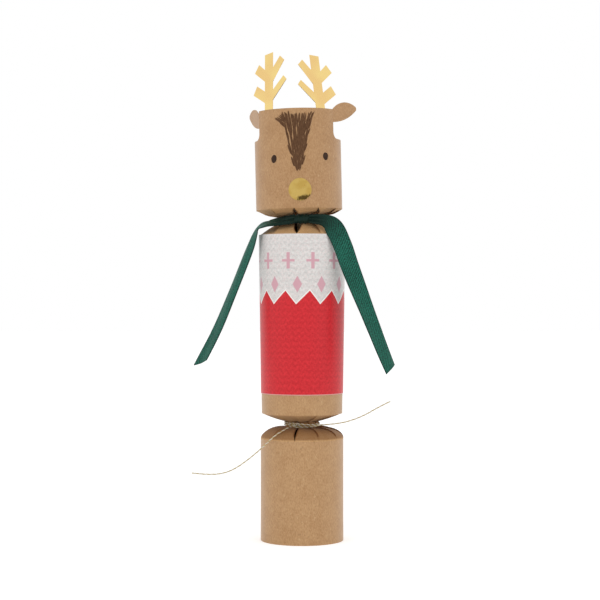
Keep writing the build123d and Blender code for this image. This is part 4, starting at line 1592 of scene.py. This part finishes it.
@dataclass
class ScarfKnot:
    """The scarf's half knot: a pinched turn of ribbon over the front of the loop."""

    height: float = SCARF_HEIGHT
    back: float = 16.6
    reach: Pair = (3.1, 2.6)
    half_width: Pair = (3.9, 4.6)
    belly: float = 0.75
    sweep: float = 112.0
    pleat: float = 0.18
    pleat_wave: Pair = (3, 0.8)
    pleat_rise: float = 0.6
    rounding: float = 0.6
    shift: float = 0.4
    taper: float = 0.12
    skew: float = 0.45
    flat_length: float = 12.0
    thickness: float = 0.35
    rows: int = 25
    columns: int = 25

    def build(self) -> Piece:
        """Make the knot.

        Returns:
            The piece.
        """
        narrow, wide = self.half_width
        points, flat_spots = [], []
        for row in range(self.rows):
            share = row / (self.rows - 1)
            swing = math.radians(self.sweep * (1 - 2 * share))
            half = narrow + (wide - narrow) * math.cos(swing * self.belly)
            for column in range(self.columns):
                side = 2 * column / (self.columns - 1) - 1
                fold = math.cos(self.pleat_wave[0] * math.pi * side + self.pleat_wave[1])
                pleat = self.pleat * fold - self.rounding * side * side
                reach = (self.reach[0] + pleat) * math.cos(swing) * (1 - self.taper * side)
                rise = (self.reach[1] + pleat * self.pleat_rise) * math.sin(swing)
                aside = half * side + self.shift * math.sin(swing)
                up = self.height + rise + self.skew * side * math.cos(swing)
                points.append(Vector((aside, -self.back - reach, up)))
                flat_spots.append(((side + 1) / 2 * RIBBON_WIDTH, share * self.flat_length))
        grid = (self.rows, self.columns)
        # The whole knot gets the painted shade
        return ribbon_piece("scarf_knot", points, grid, flat_spots, [1.0] * len(points), self.thickness)


@dataclass(frozen=True)
class TwineEnd:
    """One free end of the twine: where it leaves the knot, its steps from there and its length."""

    exit: Point
    steps: tuple[Point, ...]
    length: float


@dataclass
class Twine:
    """The metallic twine: two turns round the lower neck, a small knot and two free ends."""

    diameter: float = 0.8
    plies: int = 3
    ply_radius: float = 0.2
    ply_offset: float = 0.2
    ply_corners: int = 7
    lay: float = 3.2
    step: float = 0.3
    turns: int = 2
    lead_turn: float = 45.0
    lead_reach: float = 1.6
    winding_radius: float = 10.45
    winding_low: float = 68.356
    winding_high: float = 70.544
    points_per_turn: int = 24
    knot_turn: float = -23.0
    knot_distance: float = 11.70
    knot_half_width: float = 1.45
    knot_size: Point = (0.42, 0.44, 0.45)
    knot_steps: int = 48
    ends: dict[Side, TwineEnd] = field(
        default_factory=lambda: {
            Side.RIGHT: TwineEnd(
                (-3.237, -11.336, 70.544),
                (
                    (7.4, -3.1, -0.8), (10.1, -1.6, 0.4), (11.0, 0.0, 1.3),
                    (10.5, 0.7, 3.6), (9.0, 0.7, 5.2), (7.4, 0.6, 3.6),
                ),
                length=59.0,
            ),
            Side.LEFT: TwineEnd(
                (-5.906, -10.203, 68.356),
                (
                    (-1.0, -3.4, 0.6), (-3.7, -3.6, -1.8), (-5.7, -3.1, -3.2), (-6.0, -2.2, -5.8),
                    (-9.0, 0.2, -7.8), (-10.0, 0.3, -6.9), (-11.0, 0.6, -2.6), (-12.2, 0.4, 1.4),
                ),
                length=73.3,
            ),
        }
    )

    def recipe(self) -> Recipe:
        """The tree that lays twisted plies along a line.

        Returns:
            The finished tree.
        """
        sizes = {"Ply Radius": "Float", "Ply Offset": "Float", "Lay": "Float", "Step": "Float"}
        tree = Recipe("plies along a line", {"Plies": "Int"} | sizes)
        given = tree.given
        line = tree.add("GeometryNodeMeshToCurve", {0: given["Geometry"]})
        even = tree.add("GeometryNodeResampleCurve", {"Curve": line, "Length": given["Step"]}, mode="LENGTH")
        amount = {"Geometry": even, "Amount": given["Plies"]}
        copies = tree.add("GeometryNodeDuplicateElements", amount, domain="SPLINE")
        kept = {"Geometry": copies, "Name": "ply", "Value": copies.node.outputs[1]}
        numbered = tree.add(KEEP, kept, data_type="FLOAT", domain="POINT")
        run = tree.add("GeometryNodeSplineParameter", output="Length")
        laid = tree.add(MATH, (run, given["Lay"]), operation="DIVIDE")
        ply = tree.add(NAMED, {"Name": "ply"}, data_type="FLOAT")
        share = tree.add(MATH, (ply, given["Plies"]), operation="DIVIDE")
        turns = tree.add(MATH, (laid, share), operation="ADD")
        angle = tree.add(MATH, (turns, 2 * math.pi), operation="MULTIPLY")
        normal = tree.add("GeometryNodeInputNormal")
        tangent = tree.add("GeometryNodeInputTangent")
        away = tree.add("ShaderNodeVectorRotate", {"Vector": normal, "Axis": tangent, "Angle": angle})
        offset = tree.add(VECTOR_MATH, {0: away, "Scale": given["Ply Offset"]}, operation="SCALE")
        twisted = tree.add(SET_POSITION, {0: numbered, "Offset": offset})
        circle = {"Resolution": self.ply_corners, "Radius": given["Ply Radius"]}
        ring = tree.add("GeometryNodeCurvePrimitiveCircle", circle)
        swept = {"Curve": twisted, "Profile Curve": ring, "Fill Caps": True}
        strands = tree.add("GeometryNodeCurveToMesh", swept)
        tree.close(tree.add("GeometryNodeSetShadeSmooth", {0: strands}), TWINE)
        return tree

    def strands(self, name: str, line: list[Vector], *nodes: str) -> Piece:
        """Twist the plies along a line and let them stand for CAD nodes.

        Args:
            name: The piece's name.
            line: Points along its middle, in metres.
            nodes: The nodes that it stands for.

        Returns:
            The piece.
        """
        mesh = bpy.data.meshes.new(name)
        mesh.from_pydata(line, [(index, index + 1) for index in range(len(line) - 1)], [])
        sizes = {
            "Plies": self.plies,
            "Ply Radius": self.ply_radius * MM,
            "Ply Offset": self.ply_offset * MM,
            "Lay": self.lay * MM,
            "Step": self.step * MM,
        }
        piece = self.recipe().bake(name, mesh, sizes)
        return settle(piece, Body.FOOT, Slot.TWINE, *nodes)

    def tail(self, side: Side) -> Piece:
        """Make one free end.

        Args:
            side: Which end.

        Returns:
            The piece.
        """
        end = self.ends[side]
        leave = Vector(end.exit)
        route = [leave]
        for step in end.steps:
            route.append(route[-1] + Vector(step))
        line = nurbs_line(route)
        node = f"twine_{side.value}_tail"
        piece = self.strands(node + "_plies", line, node)
        return piece

    def winding(self) -> Piece:
        """Make the turns round the neck, from one side of the knot to the other.

        Returns:
            The piece.
        """
        out = outwards(self.knot_turn) * self.knot_distance
        aside = rightwards(self.knot_turn) * self.knot_half_width * self.lead_reach
        low, high = upwards(self.winding_low), upwards(self.winding_high)
        sweep = 360 * self.turns - 2 * self.lead_turn
        steps = round(sweep / 360 * self.points_per_turn)
        outside = self.winding_radius / math.cos(math.pi / self.points_per_turn)
        route = [out + low, out + aside + low]
        for index in range(steps + 1):
            share = index / steps
            turn = self.knot_turn + self.lead_turn + sweep * share
            height = self.winding_low + (self.winding_high - self.winding_low) * share
            route.append(outwards(turn) * outside + upwards(height))
        route += [out - aside + high, out + high]
        return self.strands("twine_wrap_plies", nurbs_line(route), "twine_wrap")

    def knot(self) -> Piece:
        """Make the small overhand knot, with its two strands drawn through each other.

        Returns:
            The piece.
        """
        right, out = rightwards(self.knot_turn), outwards(self.knot_turn)
        middle = out * self.knot_distance + upwards((self.winding_low + self.winding_high) / 2)
        line = []
        for index in range(self.knot_steps + 1):
            angle = 2 * math.pi * index / self.knot_steps
            aside = (math.sin(angle) + 2 * math.sin(2 * angle)) * self.knot_size[0]
            rise = (math.cos(angle) - 2 * math.cos(2 * angle)) * self.knot_size[1]
            depth = -math.sin(3 * angle) * self.knot_size[2]
            line.append((middle + right * aside + upwards(rise) + out * depth) * MM)
        return self.strands("twine_knot_plies", line, "twine_knot")


@dataclass
class PaperRoll:
    """A thin paper rolled up loosely, as the hat and the motto are inside the barrel."""

    node: str
    body: Body
    slot: Slot
    finish: Finish
    core: float
    outer: float
    turns: float
    paper: float
    steps_per_turn: int = 40

    def build(self) -> Piece:
        """Make the spiral sheet where its CAD node is.

        Returns:
            The piece.
        """
        low, high = (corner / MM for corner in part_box(self.node))
        middle = (low + high) / 2
        steps = round(self.turns * self.steps_per_turn)
        points = []
        for height in (low.z, high.z):
            for index in range(steps + 1):
                share = index / steps
                radius = self.core + (self.outer - self.paper - self.core) * share
                spot = outwards(360 * self.turns * share) * radius
                points.append(Vector((middle.x + spot.x, middle.y + spot.y, height)))
        name = self.node + "_roll"
        piece = link_piece(name, mesh_from(name, points, grid_faces(2, steps + 1)))
        thicken(piece, self.paper)
        self.finish.dress(piece)
        return settle(piece, self.body, self.slot, self.node)


@dataclass
class Studio:
    """A pale floor, soft light from all round and the photograph's camera."""

    frame_pixels: float = 600.0
    focal_pixels: float = 1540.0
    sensor: float = 36.0
    camera_spot: Point = (-1.23, -924.0, 143.7)
    floor_half: float = 6.0
    white: str = "#FFFFFF"
    sky_strength: float = 0.88
    lamp_power: float = 5.0
    lamp_size: float = 1.2
    lamp_spots: tuple[tuple[str, Point], ...] = (
        ("left lamp", (-1.3, -1.0, 0.2)),
        ("right lamp", (1.3, -1.0, 0.2)),
    )
    lamp_aim: Point = (0.0, 0.0, 0.15)

    def camera(self) -> None:
        """Set the camera level, facing along +Y."""
        lens = bpy.data.cameras.new("camera")
        lens.sensor_width = self.sensor
        lens.lens = self.focal_pixels / self.frame_pixels * self.sensor
        holder = bpy.data.objects.new("camera", lens)
        holder.location = Vector(self.camera_spot) * MM
        holder.rotation_euler = (math.radians(90), 0, 0)
        bpy.context.scene.collection.objects.link(holder)
        bpy.context.scene.camera = holder

    def floor(self) -> None:
        """Lay the paper sweep that the cracker stands on."""
        half = self.floor_half
        corners = [(-half, -half, 0), (half, -half, 0), (half, half, 0), (-half, half, 0)]
        mesh = bpy.data.meshes.new("floor")
        mesh.from_pydata(corners, [], [(0, 1, 2, 3)])
        floor = link_piece("floor", mesh)
        SWEEP.dress(floor)

    def sky(self) -> None:
        """Light the scene softly, with plain white behind it for the camera and in reflections."""
        world = bpy.data.worlds.new("studio")
        world.use_nodes = True
        tree = Wiring(world.node_tree)
        rays = tree.add(RAYS).node.outputs
        mirror = tree.add(MATH, (rays["Is Glossy Ray"], rays["Is Transmission Ray"]), operation="MAXIMUM")
        seen = tree.add(MATH, (rays["Is Camera Ray"], mirror), operation="MAXIMUM")
        background = world.node_tree.nodes["Background"]
        tree.feed(background.inputs["Color"], self.white)
        tree.feed(background.inputs["Strength"], tree.add(RANGE, (seen, 0.0, 1.0, self.sky_strength, 1.0)))
        bpy.context.scene.world = world

    def lamps(self) -> None:
        """Hang a broad soft lamp on each side, a little in front."""
        for name, spot in self.lamp_spots:
            light = bpy.data.lights.new(name, "AREA")
            light.shape = "DISK"
            light.size = self.lamp_size
            light.energy = self.lamp_power
            holder = bpy.data.objects.new(name, light)
            holder.location = spot
            holder.rotation_euler = (Vector(self.lamp_aim) - Vector(spot)).to_track_quat("-Z", "Y").to_euler()
            holder.visible_glossy = False
            bpy.context.scene.collection.objects.link(holder)

    def build(self) -> None:
        """Set up the whole studio."""
        self.camera()
        self.floor()
        self.sky()
        self.lamps()
        bpy.context.scene.view_settings.view_transform = "Standard"


@dataclass
class Cracker:
    """The whole cracker, built from its sub-assemblies."""

    head: Head = field(default_factory=Head)
    twine: Twine = field(default_factory=Twine)
    scarf: ScarfLoop = field(default_factory=ScarfLoop)
    scarf_knot: ScarfKnot = field(default_factory=ScarfKnot)
    foot_neck: float = 10.0
    foot_reach: float = 14.8
    foot_rim: float = 60.9
    foot_rise: float = 7.0
    foot_tear: float = 71.0
    foot_steps: int = 12

    def dress_nodes(self) -> None:
        """Give each CAD node that stays its finish."""
        finishes = {
            KRAFT: ("foot_wrap", "barrel_wrap"),
            SHADED_HEAD_KRAFT: ("head_wrap",),
            LINER: ("foot_liner", "barrel_liner", "head_liner"),
            JUMPER: ("jumper_band",),
            MIRROR: ("left_antler", "right_antler"),
            FOIL: ("nose_foil",),
            SNAP: ("snap_lower_strip", "snap_upper_strip", "snap_collar"),
            BAND: ("hat_band",),
            BEECH: ("top_disc", "top_peg"),
        }
        for finish, names in finishes.items():
            for name in names:
                finish.dress(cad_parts[name])
                log.info("%s finished as %s", name, finish.name)

    def shoulder(self) -> list[Pair]:
        """The foot's round shoulder, from its rim to the lower neck's tear.

        Returns:
            Each corner's radius and height.
        """
        corners = []
        for step in range(self.foot_steps + 1):
            angle = math.radians(90 * step / self.foot_steps)
            radius = self.foot_neck + self.foot_reach * math.cos(angle)
            corners.append((radius, self.foot_rim + self.foot_rise * math.sin(angle)))
        return corners + [(self.foot_neck, self.foot_tear)]

    def petals(self) -> list[Piece]:
        """Build the four crimped ends.

        Returns:
            The pieces.
        """
        head = self.head
        # Each ring's petal_shade, neck_shade_start and petal_edge_shade set its painted shade
        rings = [
            PetalRing(
                "foot_crimp", Body.FOOT, Gather.UP, self.shoulder(),
                neck_corner=self.foot_steps, slit_turn=-10.0,
                sag=0.3, petal_shade=0.65, neck_shade_start=0.12, petal_edge_shade=1.0,
            ),
            PetalRing(
                "barrel_bottom_crimp", Body.BARREL, Gather.DOWN, [(24.15, 76.0), (10.0, 71.05)],
                neck_corner=1, slit_turn=-10.0, slit_at_rim=0.0,
                sway=3.0, sag=0.3, petal_shade=0.2, petal_edge_shade=0.35,
            ),
            PetalRing(
                "barrel_top_crimp", Body.BARREL, Gather.UP, [(25.6, 182.5), (12.5, 190.3), (12.5, 192.7)],
                neck_corner=1, slit_turn=-7.0, sway=17.0, petal_shade=0.0,
            ),
            PetalRing(
                "head_crimp", Body.HEAD, Gather.DOWN, [(25.8, 4.9), (20.5, 2.4), (10.9, 0.4)],
                neck_corner=2, slit_turn=-7.0, seed=2733, sway=20.0, petal_shade=0.1,
                lean=head.tilt, spot=head.spot,
            ),
        ]
        return [ring.build() for ring in rings]

    def seams(self) -> list[Piece]:
        """Build the glued overlaps at the back.

        Returns:
            The pieces.
        """
        head = self.head
        overlaps = [
            GluedSeam("foot_seam", Body.FOOT, Slot.KRAFT, KRAFT, (24.8, 0.4), (24.8, 60.7)),
            GluedSeam("barrel_seam", Body.BARREL, Slot.KRAFT, KRAFT, (24.15, 76.2), (24.31, 87.6)),
            GluedSeam(
                "jumper_seam", Body.BARREL, Slot.JUMPER, JUMPER, (24.66, 88.1), (25.95, 182.3), paper=0.12
            ),
            GluedSeam(
                "head_seam", Body.HEAD, Slot.KRAFT, SHADED_HEAD_KRAFT, (25.8, 5.2), (25.8, 45.7),
                lean=head.tilt, spot=head.spot,
            ),
        ]
        return [overlap.build() for overlap in overlaps]

    def tails(self) -> list[Piece]:
        """Build the scarf's two free ends.

        Returns:
            The pieces.
        """
        right = RibbonTail(
            Side.RIGHT,
            [
                (4.0, -18.9, 191.5), (12.95, -19.55, 190.5), (18.55, -21.75, 186.3),
                (23.65, -22.05, 175.9), (28.35, -22.05, 162.5), (37.75, -21.75, 137.8),
                (47.05, -21.35, 114.4), (52.05, -21.05, 103.0),
            ],
            [
                (0, 0, 1), (0.1, 0, 1), (0.87, 0, 0.49), (0.92, 0.05, 0.39),
                (0.9, 0.27, 0.35), (0.76, 0.6, 0.25), (0.67, 0.71, 0.24), (0.6, 0.78, 0.24),
            ],
            flat_length=107.0,
            cut_slant=-1.2,
            tail_shade_fade=(4.0, 30.0),
        )
        left = RibbonTail(
            Side.LEFT,
            [
                (-4.0, -18.9, 191.5), (-12.55, -15.65, 190.3), (-20.55, -12.85, 188.6),
                (-26.25, -8.55, 185.2), (-31.35, -7.05, 173.5), (-40.95, -6.55, 149.7),
                (-50.75, -6.05, 125.8), (-60.55, -5.55, 106.2),
            ],
            [
                (0, 0, 1), (0, 0.75, 0.66), (-0.05, 0.96, 0.24), (-0.2, 0.97, 0.12),
                (-0.4, 0.89, 0.18), (-0.4, 0.89, 0.18), (-0.42, 0.88, 0.2), (-0.45, 0.86, 0.24),
            ],
            flat_length=117.0,
            cut_slant=3.5,
            tail_shade_fade=(9.0, 24.0),
        )
        return [right.build(), left.build()]

    def contents(self) -> list[Piece]:
        """Build the rolled papers inside the barrel.

        Returns:
            The pieces.
        """
        rolls = [
            PaperRoll(
                "paper_hat", Body.HAT, Slot.TISSUE, TISSUE, core=2.5, outer=7.0, turns=9.0, paper=0.15
            ),
            PaperRoll(
                "motto_slip", Body.MOTTO, Slot.MOTTO, MOTTO, core=1.2, outer=3.0, turns=5.0, paper=0.12
            ),
        ]
        return [roll.build() for roll in rolls]

    def build(self) -> None:
        """Build and dress every piece, and report each one."""
        pieces = [self.twine.tail(Side.RIGHT), self.twine.tail(Side.LEFT)]
        pieces += [self.twine.winding(), self.twine.knot()]
        pieces += self.petals()
        pieces += [self.head.forelock(), self.head.face()]
        pieces += self.seams()
        loop, knot = self.scarf.build(), self.scarf_knot.build()
        self.scarf.declare(loop, knot)
        pieces += [loop, knot] + self.tails()
        pieces += self.contents()
        self.dress_nodes()
        for piece in pieces:
            log.info("%s built with %d faces", piece.name, len(piece.data.polygons))


def main() -> None:
    """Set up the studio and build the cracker."""
    logging.basicConfig(level=logging.INFO, format="%(message)s")
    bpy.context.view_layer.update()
    Studio().build()
    Cracker().build()


if __name__ == "__main__":
    main()
